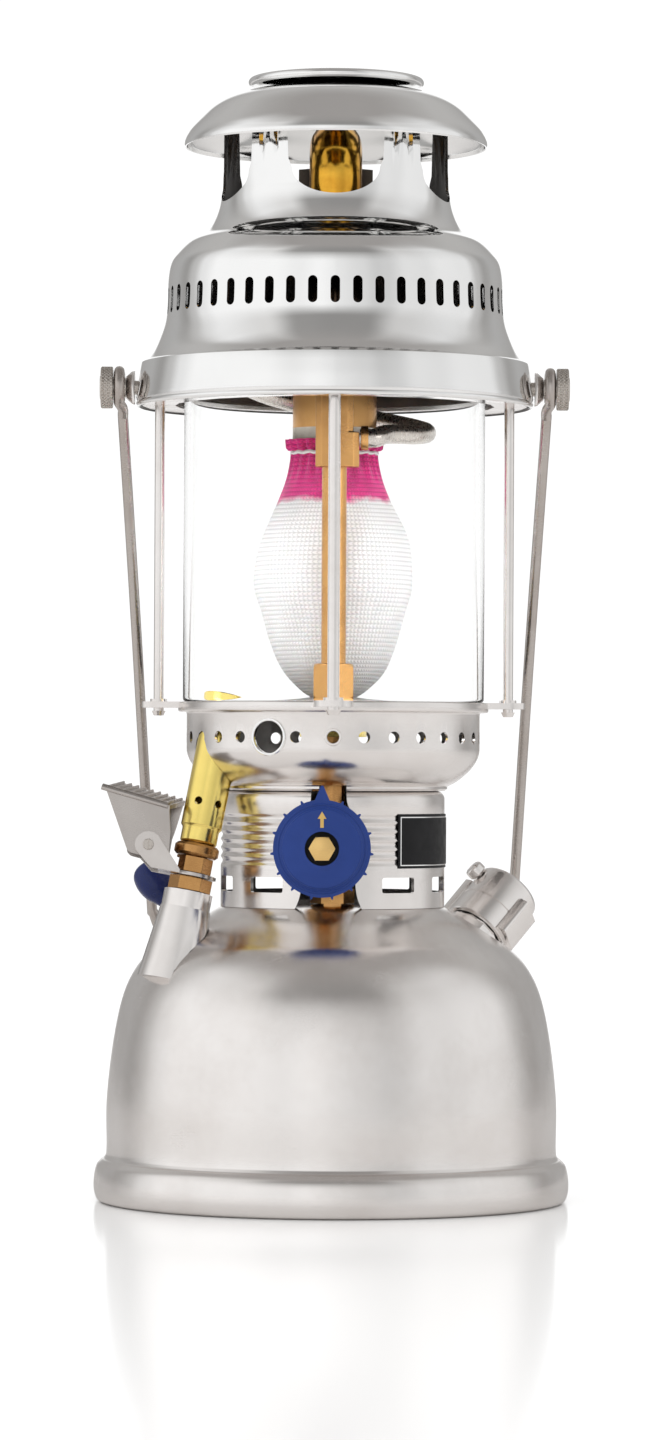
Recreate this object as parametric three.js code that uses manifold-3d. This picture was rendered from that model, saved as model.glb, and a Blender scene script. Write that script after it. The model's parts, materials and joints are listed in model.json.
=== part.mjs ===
// A kerosene pressure lantern with a wind-proof glass, a knitted mantle and a preheating torch.
// Millimetres, +Z up. The origin is on the floor under the middle of the tank, and the control
// wheel faces -Y. Every piece is one closed solid, placed as it stands at rest.

import * as THREE from 'three';
import { mergeVertices } from 'three/addons/utils/BufferGeometryUtils.js';
import Module from 'manifold-3d';

const wasm = await Module();
wasm.setup();

// Driving sizes of the whole lantern: the heights stack up from the tank, and the radii spread out
// from the collar, the foot and the hood's neck
const tankRadius = 80.5;
const tankHeight = 107.5;
const footRadius = 85;
const footHeight = 15.3;
const footBead = 4.5;
const collarRadius = 40.1;
const collarRise = 39.5;
const collarTop = tankHeight + collarRise;
const bowlReach = 12.4;
const bowlRadius = collarRadius + bowlReach;
const flangeReach = 3.1;
const flangeRadius = bowlRadius + flangeReach;
const galleryRise = 31.5;
const flangeTop = collarTop + galleryRise;
const rodReach = 7;
const rodCircle = flangeRadius + rodReach;
const frameRise = 107.5;
const frameTop = flangeTop + frameRise;
const glassStep = 1.5;
const glassRadius = bowlRadius + glassStep;
const glassRise = 6;
const glassTop = frameTop + glassRise;
const hoodDrop = 2;
const hoodBase = frameTop - hoodDrop;
const hoodReach = 8.7;
const hoodRim = rodCircle + hoodReach;
const hoodNeck = 40.5;
const hoodRise = 78;
const neckHeight = hoodBase + hoodRise;
const brimReach = 13.8;
const brimRadius = hoodNeck + brimReach;
const postRise = 15.3;
const brimHeight = neckHeight + postRise;
const domeRise = 20.9;
const pivotRise = 5;
const pivotHeight = frameTop + pivotRise;
const burnerInset = 6.6;
const burnerOffset = collarRadius - burnerInset;

// Clearances and walls shared by all pieces
const seatGap = 0.3;
const runningGap = 0.5;
const overrun = 3;
const weldDistance = 0.0001;
const sheetWall = 0.9;

// Sides of the round pieces, from the big shells down to pins
const shellSides = 32;
const bandSides = 24;
const barSides = 12;
const rodSides = 8;
const wireSides = 6;

const quarterTurn = Math.PI / 2;
const halfTurn = Math.PI;
const fullTurn = 2 * Math.PI;
const degree = Math.PI / 180;

const Y = new THREE.Vector3(0, 1, 0);

const nickel = { color: 0xc9c3bd, roughness: 0.32, metalness: 1 };
const chrome = { color: 0xdcdcdc, roughness: 0.08, metalness: 1 };
const brass = { color: 0xc9a04a, roughness: 0.28, metalness: 1 };
const bronze = { color: 0x9a6a32, roughness: 0.35, metalness: 1 };
const steel = { color: 0xa9a5a0, roughness: 0.3, metalness: 1 };
const blackened = { color: 0x55504a, roughness: 0.6, metalness: 0.8 };
const ceramicWhite = { color: 0xe6e0d4, roughness: 0.8, metalness: 0 };
const mantleCloth = { color: 0xd9d6d4, roughness: 1, metalness: 0 };
const clearGlass = { color: 0xf4f8f8, roughness: 0.02, metalness: 0, opacity: 0.25, transparent: true };
const bluePlastic = { color: 0x1d3f8f, roughness: 0.35, metalness: 0 };
const navyPlastic = { color: 0x10204c, roughness: 0.3, metalness: 0 };
const leatherBrown = { color: 0x5b3c22, roughness: 0.9, metalness: 0 };
const sealBlack = { color: 0x1c1c1c, roughness: 0.9, metalness: 0 };
const dialRed = { color: 0xa01818, roughness: 0.5, metalness: 0 };

const lantern = new THREE.Group();

// Shapes

function signedVolume(positions, index) {
  let total = 0;
  const a = new THREE.Vector3();
  const b = new THREE.Vector3();
  const c = new THREE.Vector3();
  for (let i = 0; i < index.length; i += 3) {
    a.fromBufferAttribute(positions, index[i]);
    b.fromBufferAttribute(positions, index[i + 1]);
    c.fromBufferAttribute(positions, index[i + 2]);
    total += a.dot(b.cross(c));
  }
  return total;
}

// One closed mesh: shared corners merged, collapsed triangles dropped, faces pointing out.
function closed(geometry) {
  const bare = new THREE.BufferGeometry();
  bare.setAttribute('position', geometry.getAttribute('position').clone());
  if (geometry.index) {
    bare.setIndex(geometry.index.clone());
  }
  const merged = mergeVertices(bare, weldDistance);
  const corners = merged.index.array;
  const kept = [];
  for (let i = 0; i < corners.length; i += 3) {
    const [a, b, c] = [corners[i], corners[i + 1], corners[i + 2]];
    if (a !== b && b !== c && c !== a) {
      kept.push(a, b, c);
    }
  }
  if (signedVolume(merged.getAttribute('position'), kept) < 0) {
    kept.reverse();
  }
  merged.setIndex(kept);
  return merged;
}

function toManifold(geometry) {
  const shape = closed(geometry);
  const vertProperties = new Float32Array(shape.getAttribute('position').array);
  const triVerts = new Uint32Array(shape.index.array);
  return new wasm.Manifold(new wasm.Mesh({ numProp: 3, vertProperties, triVerts }));
}

function fromManifold(manifold) {
  const mesh = manifold.getMesh();
  const geometry = new THREE.BufferGeometry();
  geometry.setAttribute('position', new THREE.BufferAttribute(mesh.vertProperties, mesh.numProp));
  geometry.setIndex(new THREE.BufferAttribute(mesh.triVerts, 1));
  return geometry;
}

function join(first, ...others) {
  let whole = toManifold(first);
  for (const other of others) {
    whole = whole.add(toManifold(other));
  }
  return fromManifold(whole);
}

function cut(first, ...tools) {
  let left = toManifold(first);
  for (const tool of tools) {
    left = left.subtract(toManifold(tool));
  }
  return fromManifold(left);
}

// A profile of [radius, height] points turned about Z.
function turned(profile, sides, start = 0) {
  const points = profile.map(([radius, height]) => new THREE.Vector2(radius, height));
  const geometry = new THREE.LatheGeometry(points, sides, start);
  geometry.rotateX(quarterTurn);
  return geometry;
}

function turnedRing(profile, sides, start = 0) {
  return turned([...profile, profile[0]], sides, start);
}

function disc(radius, bottom, top, sides) {
  return turned([[0, bottom], [radius, bottom], [radius, top], [0, top]], sides);
}

function ring(inner, outer, bottom, top, sides) {
  return turnedRing([[inner, bottom], [outer, bottom], [outer, top], [inner, top]], sides);
}

// The corner radius of a many-sided bore whose flats clear a round of the given radius.
function boreFor(radius, sides) {
  return (radius + seatGap) / Math.cos(halfTurn / sides);
}

function block(size, centre) {
  const geometry = new THREE.BoxGeometry(...size);
  geometry.translate(...centre);
  return geometry;
}

function outline(points) {
  return new THREE.Shape(points.map(([u, v]) => new THREE.Vector2(u, v)));
}

// A flat outline in X and Y, raised from bottom to top.
function prism(points, bottom, top) {
  const geometry = new THREE.ExtrudeGeometry(outline(points), { depth: top - bottom, bevelEnabled: false });
  geometry.translate(0, 0, bottom);
  return geometry;
}

// The same with the outline in X and Z, running from the front value of Y to the back one.
function frontPrism(points, front, back) {
  const geometry = prism(points, -back, -front);
  geometry.rotateX(quarterTurn);
  return geometry;
}

// The same with the outline in Y and Z, running from the left value of X to the right one.
function sidePrism(points, left, right) {
  const geometry = prism(points, left, right);
  geometry.rotateY(quarterTurn);
  geometry.rotateX(quarterTurn);
  return geometry;
}

function polygon(count, radius, start = 0) {
  const points = [];
  for (let i = 0; i < count; i += 1) {
    const angle = start + fullTurn * i / count;
    points.push([radius * Math.cos(angle), radius * Math.sin(angle)]);
  }
  return points;
}

function hexagon(acrossFlats, start = 0) {
  return polygon(6, acrossFlats / Math.sqrt(3), start);
}

// An outline from shares: radius between two named radii, height between two named heights.
function shaped(shares, fromRadius, toRadius, fromHeight, toHeight) {
  return shares.map(([u, v]) => [
    fromRadius + u * (toRadius - fromRadius),
    fromHeight + v * (toHeight - fromHeight),
  ]);
}

// The height of a falling outline at a radius.
function heightAt(profile, radius) {
  for (let i = 1; i < profile.length; i += 1) {
    const [r0, z0] = profile[i - 1];
    const [r1, z1] = profile[i];
    if ((radius - r0) * (radius - r1) <= 0 && r0 !== r1) {
      return z0 + (z1 - z0) * (radius - r0) / (r1 - r0);
    }
  }
  return profile[profile.length - 1][1];
}

// A round bar or pipe section carried along a curve.
function swept(curve, radius, sides, steps) {
  return new THREE.ExtrudeGeometry(outline(polygon(sides, radius)), {
    steps,
    bevelEnabled: false,
    extrudePath: curve,
  });
}

function moved(geometry, x, y, z) {
  const copy = geometry.clone();
  copy.translate(x, y, z);
  return copy;
}

function turnedBy(geometry, angle) {
  const copy = geometry.clone();
  copy.rotateZ(angle);
  return copy;
}

// Shapes made along +Z are laid along -Y, so that their top faces the front.
function facingFront(geometry) {
  const copy = geometry.clone();
  copy.rotateX(quarterTurn);
  return copy;
}

function piece(name, geometry, look, parent = lantern) {
  const mesh = new THREE.Mesh(closed(geometry), new THREE.MeshStandardMaterial(look));
  mesh.name = name;
  parent.add(mesh);
  return mesh;
}

// A group whose Z axis points along a direction, with its Y axis as near +Y as it can be.
function tiltedGroup(origin, direction) {
  const along = direction.clone().normalize();
  const side = Y.clone().cross(along).normalize();
  const depth = along.clone().cross(side);
  const group = new THREE.Group();
  group.quaternion.setFromRotationMatrix(new THREE.Matrix4().makeBasis(side, depth, along));
  group.position.copy(origin);
  group.updateMatrix();
  lantern.add(group);
  return group;
}

// A shape of a tilted group, brought into the lantern's own frame to cut a shell with.
function inLantern(geometry, group) {
  return geometry.clone().applyMatrix4(group.matrix);
}

// A shape of the lantern's own frame, brought into a tilted group to trim a piece there.
function inGroup(geometry, group) {
  return geometry.clone().applyMatrix4(group.matrix.clone().invert());
}

// Fuel tank: a drawn shell with a rolled foot, and a dished plate seamed into the foot

const tankWall = 1.2;
const footShares = [[0.5, 0], [1, 0.25], [0.95, 0.68], [0.5, 0.94], [0.12, 1]];
const domeShares = [
  [1, 0.335], [0.974, 0.521], [0.93, 0.68], [0.87, 0.777], [0.79, 0.842], [0.703, 0.885],
  [0.557, 0.954], [0.447, 0.992], [0.25, 1],
];
const innerDomeShares = [[1, 0.4], [0.93, 0.68], [0.79, 0.842], [0.447, 0.992]];
const plateHeight = 5;
const plateWall = 1.6;
const plateDish = 3;
const plateLip = 3.4;

function domeProfile(grow) {
  return shaped(domeShares, 0, tankRadius + grow, 0, tankHeight + grow);
}

// The whole tank as one lump, a little larger all round, to trim what stands on the dome.
function tankLump(grow) {
  return turned([[0, 0], [tankRadius + grow, 0], ...domeProfile(grow), [0, tankHeight + grow]], shellSides);
}

// A place over the tank, from its shares of the tank's radius and its height.
function onTank([across, back], height) {
  return new THREE.Vector3(across * tankRadius, back * tankRadius, height);
}

const burnerLine = new THREE.Vector3(0, -burnerOffset, 0);
const domeOutline = [...domeProfile(0), [0, tankHeight]];
const tankInner = tankRadius - tankWall;
const footInner = footRadius - footBead - tankWall;

function tankShell(holes) {
  const foot = shaped(footShares, footRadius - footBead, footRadius, 0, footHeight);
  const inside = shaped(innerDomeShares, 0, tankInner, 0, tankHeight - tankWall);
  const profile = [
    [0, tankHeight - tankWall], ...inside.reverse(), [footInner, footHeight], [footInner, 0],
    ...foot, ...domeProfile(0), [0, tankHeight],
  ];
  return cut(turned(profile, shellSides), ...holes);
}

function tankBottom() {
  const edge = footInner * Math.cos(halfTurn / shellSides) - seatGap;
  return turned([
    [0, plateHeight + plateDish], [edge - plateLip, plateHeight], [edge - plateLip, plateHeight - plateLip],
    [edge, plateHeight - plateLip], [edge, plateHeight + plateWall],
    [edge - plateLip, plateHeight + plateWall],
    [0, plateHeight + plateDish + plateWall],
  ], bandSides);
}

// Ribbed collar that stands on the dome, with a slot at the front and windows near its foot

const ledgeWidth = 6.1;
const collarLedge = collarRadius - ledgeWidth;
const collarShoulder = 3;
const collarRound = 0.9;
const ribCount = 6;
const ribPitch = 3.1;
const ribDepth = 0.6;
const ribDrop = 26.7;
const ribStart = collarTop - ribDrop;
const windowWidth = 14;
const windowHeight = 5.5;
const windowRise = 3.5;
const windowBottom = tankHeight + windowRise;
const windowStep = 36 * degree;
const slotCentre = -1.4;
const slotWidth = 19;
const slotFlare = 30;
const slotFlareRise = 1.5;
const slotFlareTop = tankHeight + slotFlareRise;
const slotDrop = 9;
const slotTop = collarTop - slotDrop;
const notchWidth = 12;
const notchDrop = 5;
const notchStart = collarTop - notchDrop;

const collarInner = collarRadius - sheetWall;
const collarBase = heightAt(domeOutline, collarInner) + seatGap;

function collarBody() {
  const ribs = [];
  for (let i = 0; i < ribCount; i += 1) {
    const height = ribStart + i * ribPitch;
    ribs.push([collarRadius, height], [collarRadius - ribDepth, height + ribPitch / 2]);
  }
  ribs.push([collarRadius, ribStart + ribCount * ribPitch]);
  const shell = turnedRing([
    [collarRadius, collarBase], ...ribs, [collarRadius, collarTop - collarShoulder],
    [collarRadius - collarRound, collarTop - collarRound],
    [collarRadius - collarShoulder, collarTop], [collarLedge, collarTop],
    [collarLedge, collarTop - sheetWall],
    [collarInner - collarShoulder, collarTop - sheetWall],
    [collarInner - ribDepth, collarTop - collarShoulder],
    [collarInner - ribDepth, ribStart], [collarInner, ribStart - ribPitch], [collarInner, collarBase],
  ], bandSides);
  const reach = collarRadius - collarLedge + overrun;
  const holes = [];
  for (let i = 1; i < fullTurn / windowStep; i += 1) {
    const opening = block(
      [windowWidth, reach, windowHeight],
      [0, -collarRadius, windowBottom + windowHeight / 2],
    );
    holes.push(turnedBy(opening, i * windowStep));
  }
  const half = slotWidth / 2;
  const flare = slotFlare / 2;
  const notch = notchWidth / 2;
  const below = collarBase - overrun;
  const above = collarTop + overrun;
  const slot = frontPrism([
    [slotCentre - flare, below], [slotCentre + flare, below], [slotCentre + half, slotFlareTop],
    [slotCentre + half, slotTop], [slotCentre + notch, notchStart], [slotCentre + notch, above],
    [slotCentre - notch, above], [slotCentre - notch, notchStart], [slotCentre - half, slotTop],
    [slotCentre - half, slotFlareTop],
  ], -collarRadius - overrun, -collarLedge + overrun);
  return cut(shell, ...holes, slot);
}

// Burner gallery: a pierced bowl with a flange, and four tabs for the frame rods

const flangeDepth = 3.6;
const bowlDepth = 18.5;
const bowlBottom = flangeTop - bowlDepth;
const bowlRound = 3;
const bowlEdge = bowlBottom - bowlRound;
const bowlFootRise = 1.5;
const bowlFoot = collarTop + bowlFootRise;
const tabWidth = 14;
const tabOut = 6;
const tabReach = rodCircle + tabOut;
const tabDepth = 3;
const holeCount = 30;
const holeRadius = 2.1;
const holeRise = 5.8;
const holeHeight = bowlBottom + holeRise;
const eyeletRadius = 2.6;
const preheatHoleRadius = 6.6;
const preheatHolePlace = -2;
const skippedHoles = [-3, -2, -1, 0];
const holeSides = 6;

function galleryBody(torchCut) {
  const inner = bowlRadius - sheetWall;
  const foot = collarRadius + sheetWall;
  const shell = turnedRing([
    [collarLedge, collarTop], [foot - sheetWall, collarTop], [foot, bowlFoot],
    [bowlRadius - 2 * sheetWall, bowlEdge],
    [bowlRadius, bowlBottom], [bowlRadius, flangeTop - flangeDepth], [flangeRadius, flangeTop - flangeDepth],
    [flangeRadius, flangeTop], [inner, flangeTop], [inner, bowlBottom], [inner - 2 * sheetWall, bowlEdge],
    [foot - 2 * sheetWall, bowlFoot + sheetWall], [collarLedge, bowlFoot],
  ], holeCount, halfTurn / holeCount);
  const tabs = [];
  const holes = [];
  for (let i = 0; i < 4; i += 1) {
    const angle = i * quarterTurn;
    const half = tabWidth / 2;
    const corner = half / 2;
    const tab = prism([
      [-half, -bowlRadius], [-half, corner - tabReach], [-corner, -tabReach], [corner, -tabReach],
      [half, corner - tabReach], [half, -bowlRadius],
    ], flangeTop - tabDepth, flangeTop);
    tabs.push(turnedBy(tab, angle));
    const hole = disc(rodRadius + seatGap, flangeTop - tabDepth - overrun, flangeTop + overrun, rodSides);
    holes.push(turnedBy(moved(hole, 0, -rodCircle, 0), angle));
  }
  for (let i = 0; i < holeCount; i += 1) {
    const place = i > holeCount / 2 ? i - holeCount : i;
    if (!skippedHoles.includes(place)) {
      holes.push(radialHole(holeRadius, place, holeSides));
    }
  }
  holes.push(radialHole(eyeletRadius, 0, rodSides));
  holes.push(radialHole(preheatHoleRadius, preheatHolePlace, barSides));
  const stemRoom = block(
    [
      2 * (stemRadius + runningGap),
      burnerOffset + stemRadius + runningGap - collarLedge + overrun,
      2 * overrun,
    ],
    [0, -(burnerOffset + stemRadius + runningGap + collarLedge - overrun) / 2, collarTop],
  );
  return cut(join(shell, ...tabs), ...holes, torchCut, stemRoom);
}

// A hole through the wall of the bowl, some places round from the front.
function radialHole(radius, place, sides) {
  const tool = facingFront(disc(radius, bowlRadius - overrun, bowlRadius + overrun, sides));
  return turnedBy(moved(tool, 0, 0, holeHeight), place * fullTurn / holeCount);
}

// Frame: four riveted rods, a ring with two ears, and the glass

const rodRadius = 2.1;
const washerRadius = 3.5;
const washerDepth = 1;
const rivetRadius = 2.9;
const rivetHeight = 1.7;
const rivetCrown = 2;
const ringRoom = 3.2;
const ringInner = glassRadius + ringRoom;
const ringReach = 6.4;
const ringOuter = rodCircle + ringReach;
const ringDepth = 1.5;
const earWidth = 14;
const earDepth = 1.6;
const earRise = 5.5;
const earHeight = pivotHeight + earRise;
const earInset = 3.7;
const earOut = hoodRim - earInset;
const glassWall = 2.4;

function frameRod() {
  const under = flangeTop - tabDepth - seatGap;
  const over = frameTop + seatGap;
  return turned([
    [0, under - rivetHeight], [rivetCrown, under - rivetHeight], [rivetRadius, under], [rodRadius, under],
    [rodRadius, flangeTop], [washerRadius, flangeTop], [washerRadius, flangeTop + washerDepth],
    [rodRadius, flangeTop + washerDepth], [rodRadius, over], [rivetRadius, over],
    [rivetCrown, over + rivetHeight], [0, over + rivetHeight],
  ], rodSides - 2);
}

function frameRing() {
  const half = earWidth / 2;
  const band = ring(ringInner, ringOuter, frameTop - ringDepth, frameTop, bandSides);
  const ears = [];
  const holes = [];
  for (const side of [-1, 1]) {
    const ear = sidePrism([
      [-half, frameTop - ringDepth], [half, frameTop - ringDepth], [half, earHeight - half / 2],
      [half / 2, earHeight], [-half / 2, earHeight], [-half, earHeight - half / 2],
    ], earOut - earDepth, earOut);
    const bore = disc(screwRadius + seatGap, earOut - earDepth - overrun, earOut + overrun, rodSides);
    bore.rotateY(quarterTurn);
    bore.translate(0, 0, pivotHeight);
    ears.push(side > 0 ? ear : turnedBy(ear, halfTurn));
    holes.push(side > 0 ? bore : turnedBy(bore, halfTurn));
  }
  for (let i = 0; i < 4; i += 1) {
    const hole = disc(rodRadius + seatGap, frameTop - ringDepth - overrun, frameTop + overrun, rodSides);
    holes.push(turnedBy(moved(hole, 0, -rodCircle, 0), i * quarterTurn));
  }
  return cut(join(band, ...ears), ...holes);
}

function glassChimney() {
  return ring(glassRadius - glassWall, glassRadius, flangeTop, glassTop, bandSides);
}

// Valve body, spindle and needle: half a turn of the wheel lowers the needle by the eccentric's throw

const spindlePlace = -3.7;
const spindleDrop = 20;
const spindleHeight = collarTop - spindleDrop;
const spindleRadius = 2;
const spindleBore = 2.3;
const crankRadius = 2.7;
const crankDepth = 1.2;
const crankThrow = 1.5;
const crankPinRadius = 0.8;
const needleRadius = 1.1;
const needleBore = 1.7;
const pinPlay = 0.65;
const yokeDepth = 3;
const yokeWall = 1.2;
const stemRadius = 4.3;
const stemRise = 4.5;
const stemTop = flangeTop + stemRise;
const bodyRadius = 8.4;
const bodyHalf = 10;
const bodyPlace = -3.1;
const bossRadius = 4.6;
const bossReach = 14.5;
const bossFront = burnerOffset + bossReach;
const glandFlats = 10;
const glandDepth = 5;
const tankNutFlats = 13.5;
const tankNutDepth = 5;
const tankNutSeat = heightAt(domeOutline, burnerOffset - tankNutFlats / 2) + seatGap;
const stemDepth = 7.5;
const stemBottom = tankHeight - stemDepth;

const yokeMiddle = spindleHeight + crankThrow;
const slotHalf = crankThrow + crankPinRadius + pinPlay;
const slotHeight = 2 * (crankPinRadius + pinPlay);
const yokeLeft = spindlePlace - slotHalf - yokeWall;
const yokeRight = needleRadius + seatGap;
const yokeHeight = slotHeight + 2 * yokeWall;
const crankFace = burnerOffset + yokeDepth / 2 + runningGap;

function onBurnerLine(geometry) {
  return moved(geometry, burnerLine.x, burnerLine.y, 0);
}

// A shape made along +Z at the origin, laid along the spindle so that height 0 is the tank's axis.
function onSpindle(geometry) {
  return moved(facingFront(geometry), spindlePlace, 0, spindleHeight);
}

function valveBody() {
  const main = disc(bodyRadius, spindleHeight - bodyHalf, spindleHeight + bodyHalf, barSides);
  const stem = disc(stemRadius, stemBottom, stemTop, rodSides);
  const nut = prism(hexagon(tankNutFlats), tankNutSeat, tankNutSeat + tankNutDepth);
  const boss = onSpindle(disc(bossRadius, burnerOffset, bossFront, rodSides));
  const bore = disc(needleBore, stemBottom - overrun, stemTop + overrun, wireSides);
  const left = yokeLeft - runningGap;
  const right = yokeRight + runningGap;
  const front = crankFace + crankDepth + runningGap;
  const back = burnerOffset - yokeDepth / 2 - runningGap;
  const top = yokeMiddle + yokeHeight / 2 + runningGap;
  const bottom = yokeMiddle - 2 * crankThrow - yokeHeight / 2 - runningGap;
  const chamber = block([right - left, front - back, top - bottom], [
    (left + right) / 2, -(front + back) / 2, (top + bottom) / 2,
  ]);
  const spindleHole = onSpindle(disc(spindleBore, burnerOffset, bossFront + overrun, rodSides));
  const whole = join(
    moved(main, bodyPlace, -burnerOffset, 0), onBurnerLine(stem), onBurnerLine(nut), boss,
  );
  return cut(whole, onBurnerLine(bore), chamber, spindleHole);
}

function packingNut() {
  const nut = prism(hexagon(glandFlats, quarterTurn), bossFront + seatGap, bossFront + seatGap + glandDepth);
  const bore = disc(spindleBore, bossFront - overrun, bossFront + glandDepth + overrun, rodSides);
  return onSpindle(cut(nut, bore));
}

const wheelRadius = 17;
const wheelStandOff = 6;
const wheelBack = bossFront + wheelStandOff;
const wheelDepth = 8;
const wheelFront = wheelBack + wheelDepth;
const wheelSide = 6;
const wheelStep = 14;
const wheelHub = 5.2;
const wheelWeb = 3;
const wheelChamfer = 1;
const wheelRound = 0.6;
const recessRadius = 6;
const recessDepth = 4.4;
const recessFloor = wheelFront - recessDepth;
const toothCount = 15;
const toothHeight = 1.2;
const toothWidth = 4.4 * degree;
const pointerHeight = 5;
const pointerWidth = 17 * degree;
const wheelNutFlats = 8.4;
const wheelNutDepth = 3.4;

function spindle() {
  const shaft = disc(spindleRadius, crankFace, recessFloor - seatGap, rodSides);
  const crank = disc(crankRadius, crankFace, crankFace + crankDepth, barSides);
  const pinBack = burnerOffset - yokeDepth / 2 - seatGap;
  const pin = moved(disc(crankPinRadius, pinBack, crankFace + crankDepth, wireSides), 0, crankThrow, 0);
  return onSpindle(join(shaft, crank, pin));
}

function wheelOutline() {
  const points = [];
  const pitch = fullTurn / toothCount;
  for (let i = 0; i < toothCount; i += 1) {
    const height = i === 0 ? pointerHeight : toothHeight;
    const half = (i === 0 ? pointerWidth : toothWidth) / 2;
    const middle = quarterTurn + i * pitch;
    const spots = [
      [-half, wheelRadius], [0, wheelRadius + height], [half, wheelRadius], [pitch / 2, wheelRadius],
    ];
    for (const [turn, radius] of spots) {
      points.push([radius * Math.cos(middle + turn), radius * Math.sin(middle + turn)]);
    }
  }
  return points;
}

function controlWheel() {
  const rim = prism(wheelOutline(), wheelBack, wheelBack + wheelSide);
  const face = turned([
    [0, wheelBack], [wheelRadius - wheelChamfer, wheelBack],
    [wheelStep + wheelChamfer, wheelBack + wheelSide],
    [wheelStep, wheelFront - wheelRound], [wheelStep - wheelRound, wheelFront], [0, wheelFront],
  ], barSides);
  const recess = disc(recessRadius, recessFloor, wheelFront + overrun, barSides);
  const hollow = ring(wheelHub, wheelStep, wheelBack - overrun, recessFloor - wheelWeb, barSides);
  const bore = disc(spindleRadius + seatGap, wheelBack - overrun, wheelFront, rodSides);
  return onSpindle(cut(join(rim, face), recess, hollow, bore));
}

function wheelNut() {
  const nut = prism(hexagon(wheelNutFlats), recessFloor, recessFloor + wheelNutDepth);
  return onSpindle(nut);
}

const dipBottom = 30;
const dipRadius = 3;
const footValveBottom = 20;
const footValveRadius = 4.5;
const footSeatRadius = 0.9;
const needleFoot = 27;
const needleTipLength = 12;
const needleTipRadius = 0.4;
const needleTipOut = 0.5;
const headRise = 13;
const headHeight = frameTop + headRise;
const jetHeight = 9;

function needleRod() {
  const tip = headHeight + jetHeight + needleTipOut;
  const shoulder = tip - needleTipLength;
  const rod = turned([
    [0, needleFoot], [needleRadius, needleFoot + needleRadius], [needleRadius, shoulder - needleRadius],
    [needleTipRadius, shoulder], [needleTipRadius, tip - needleTipRadius], [0, tip],
  ], wireSides);
  const middle = (yokeLeft + yokeRight) / 2;
  const yoke = block([yokeRight - yokeLeft, yokeDepth, yokeHeight], [middle, -burnerOffset, yokeMiddle]);
  const slot = block(
    [2 * slotHalf, yokeDepth + overrun, slotHeight],
    [spindlePlace, -burnerOffset, yokeMiddle],
  );
  return cut(join(onBurnerLine(rod), yoke), slot);
}

function dipTube() {
  return onBurnerLine(ring(needleBore, dipRadius, dipBottom, stemBottom, rodSides));
}

function footValve() {
  const seat = (dipBottom + footValveBottom) / 2;
  return onBurnerLine(turnedRing([
    [footSeatRadius, footValveBottom], [footValveRadius, footValveBottom], [footValveRadius, dipBottom],
    [needleBore, dipBottom], [needleBore, seat], [footSeatRadius, seat - needleBore + footSeatRadius],
  ], rodSides));
}

// Vaporizer: union nut, upright tube, head block, and the steel loop that rises round the burner

const unionFlats = 13.95;
const unionRise = 0.5;
const unionBottom = flangeTop + unionRise;
const unionLength = 13;
const unionTop = unionBottom + unionLength;
const vaporTube = 4.35;
const headLength = 38.2;
const headBottom = headHeight - headLength;
const headWidth = 13.3;
const headDepth = 12;
const headCorner = 2;
const headStep = 26;
const headShoulder = headHeight - headStep;
const loopTube = 3.4;
const loopInset = 0.5;
const loopRadius = burnerOffset - loopInset;
const loopDrop = 28;
const loopStart = headHeight - loopDrop;
const loopEndDrop = 4;
const loopEnd = headHeight - loopEndDrop;
const loopReach = 5;
const loopSteps = 11;
const loopFirst = 34 * degree;
const loopLast = 334 * degree;

function vaporizerNut() {
  const nut = prism(hexagon(unionFlats), unionBottom, unionTop);
  const bore = disc(vaporTube + seatGap, unionBottom - overrun, unionTop + overrun, rodSides);
  return onBurnerLine(cut(nut, bore));
}

function vaporizerTube() {
  return onBurnerLine(ring(needleBore, vaporTube, stemTop + seatGap, headBottom, rodSides));
}

function vaporizerHead() {
  const half = headWidth / 2;
  const deep = headDepth / 2;
  const edge = deep - headCorner;
  const square = (reach) => [
    [-half, -edge], [headCorner - half, -deep], [reach - headCorner, -deep], [reach, -edge],
    [reach, edge], [reach - headCorner, deep], [headCorner - half, deep], [-half, edge],
  ];
  const lower = prism(square(half + headCorner), headBottom, headShoulder);
  const upper = prism(square(half), headShoulder - seatGap, headHeight);
  const bore = disc(needleBore, headBottom - overrun, headHeight + overrun, wireSides);
  return onBurnerLine(cut(join(lower, upper), bore));
}

function vaporizerLoop() {
  const right = headWidth / 2 + headCorner + seatGap;
  const left = -headWidth / 2 - seatGap;
  const points = [
    new THREE.Vector3(right, -burnerOffset, loopStart),
    new THREE.Vector3(right + loopReach, -burnerOffset, loopStart),
  ];
  for (let i = 0; i <= loopSteps; i += 1) {
    const share = i / loopSteps;
    const angle = loopFirst + share * (loopLast - loopFirst);
    const rise = Math.sin(share * quarterTurn) ** 2;
    const height = loopStart + loopTube / 2 + rise * (loopEnd - loopStart - loopTube / 2);
    points.push(new THREE.Vector3(loopRadius * Math.sin(angle), -loopRadius * Math.cos(angle), height));
  }
  points.push(new THREE.Vector3(left - loopReach, -burnerOffset, loopEnd));
  points.push(new THREE.Vector3(left, -burnerOffset, loopEnd));
  return swept(new THREE.CatmullRomCurve3(points), loopTube, wireSides, 2 * loopSteps);
}

// Jet, preheating cup, and the brass mixing tube that arches from the jet to the burner

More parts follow.
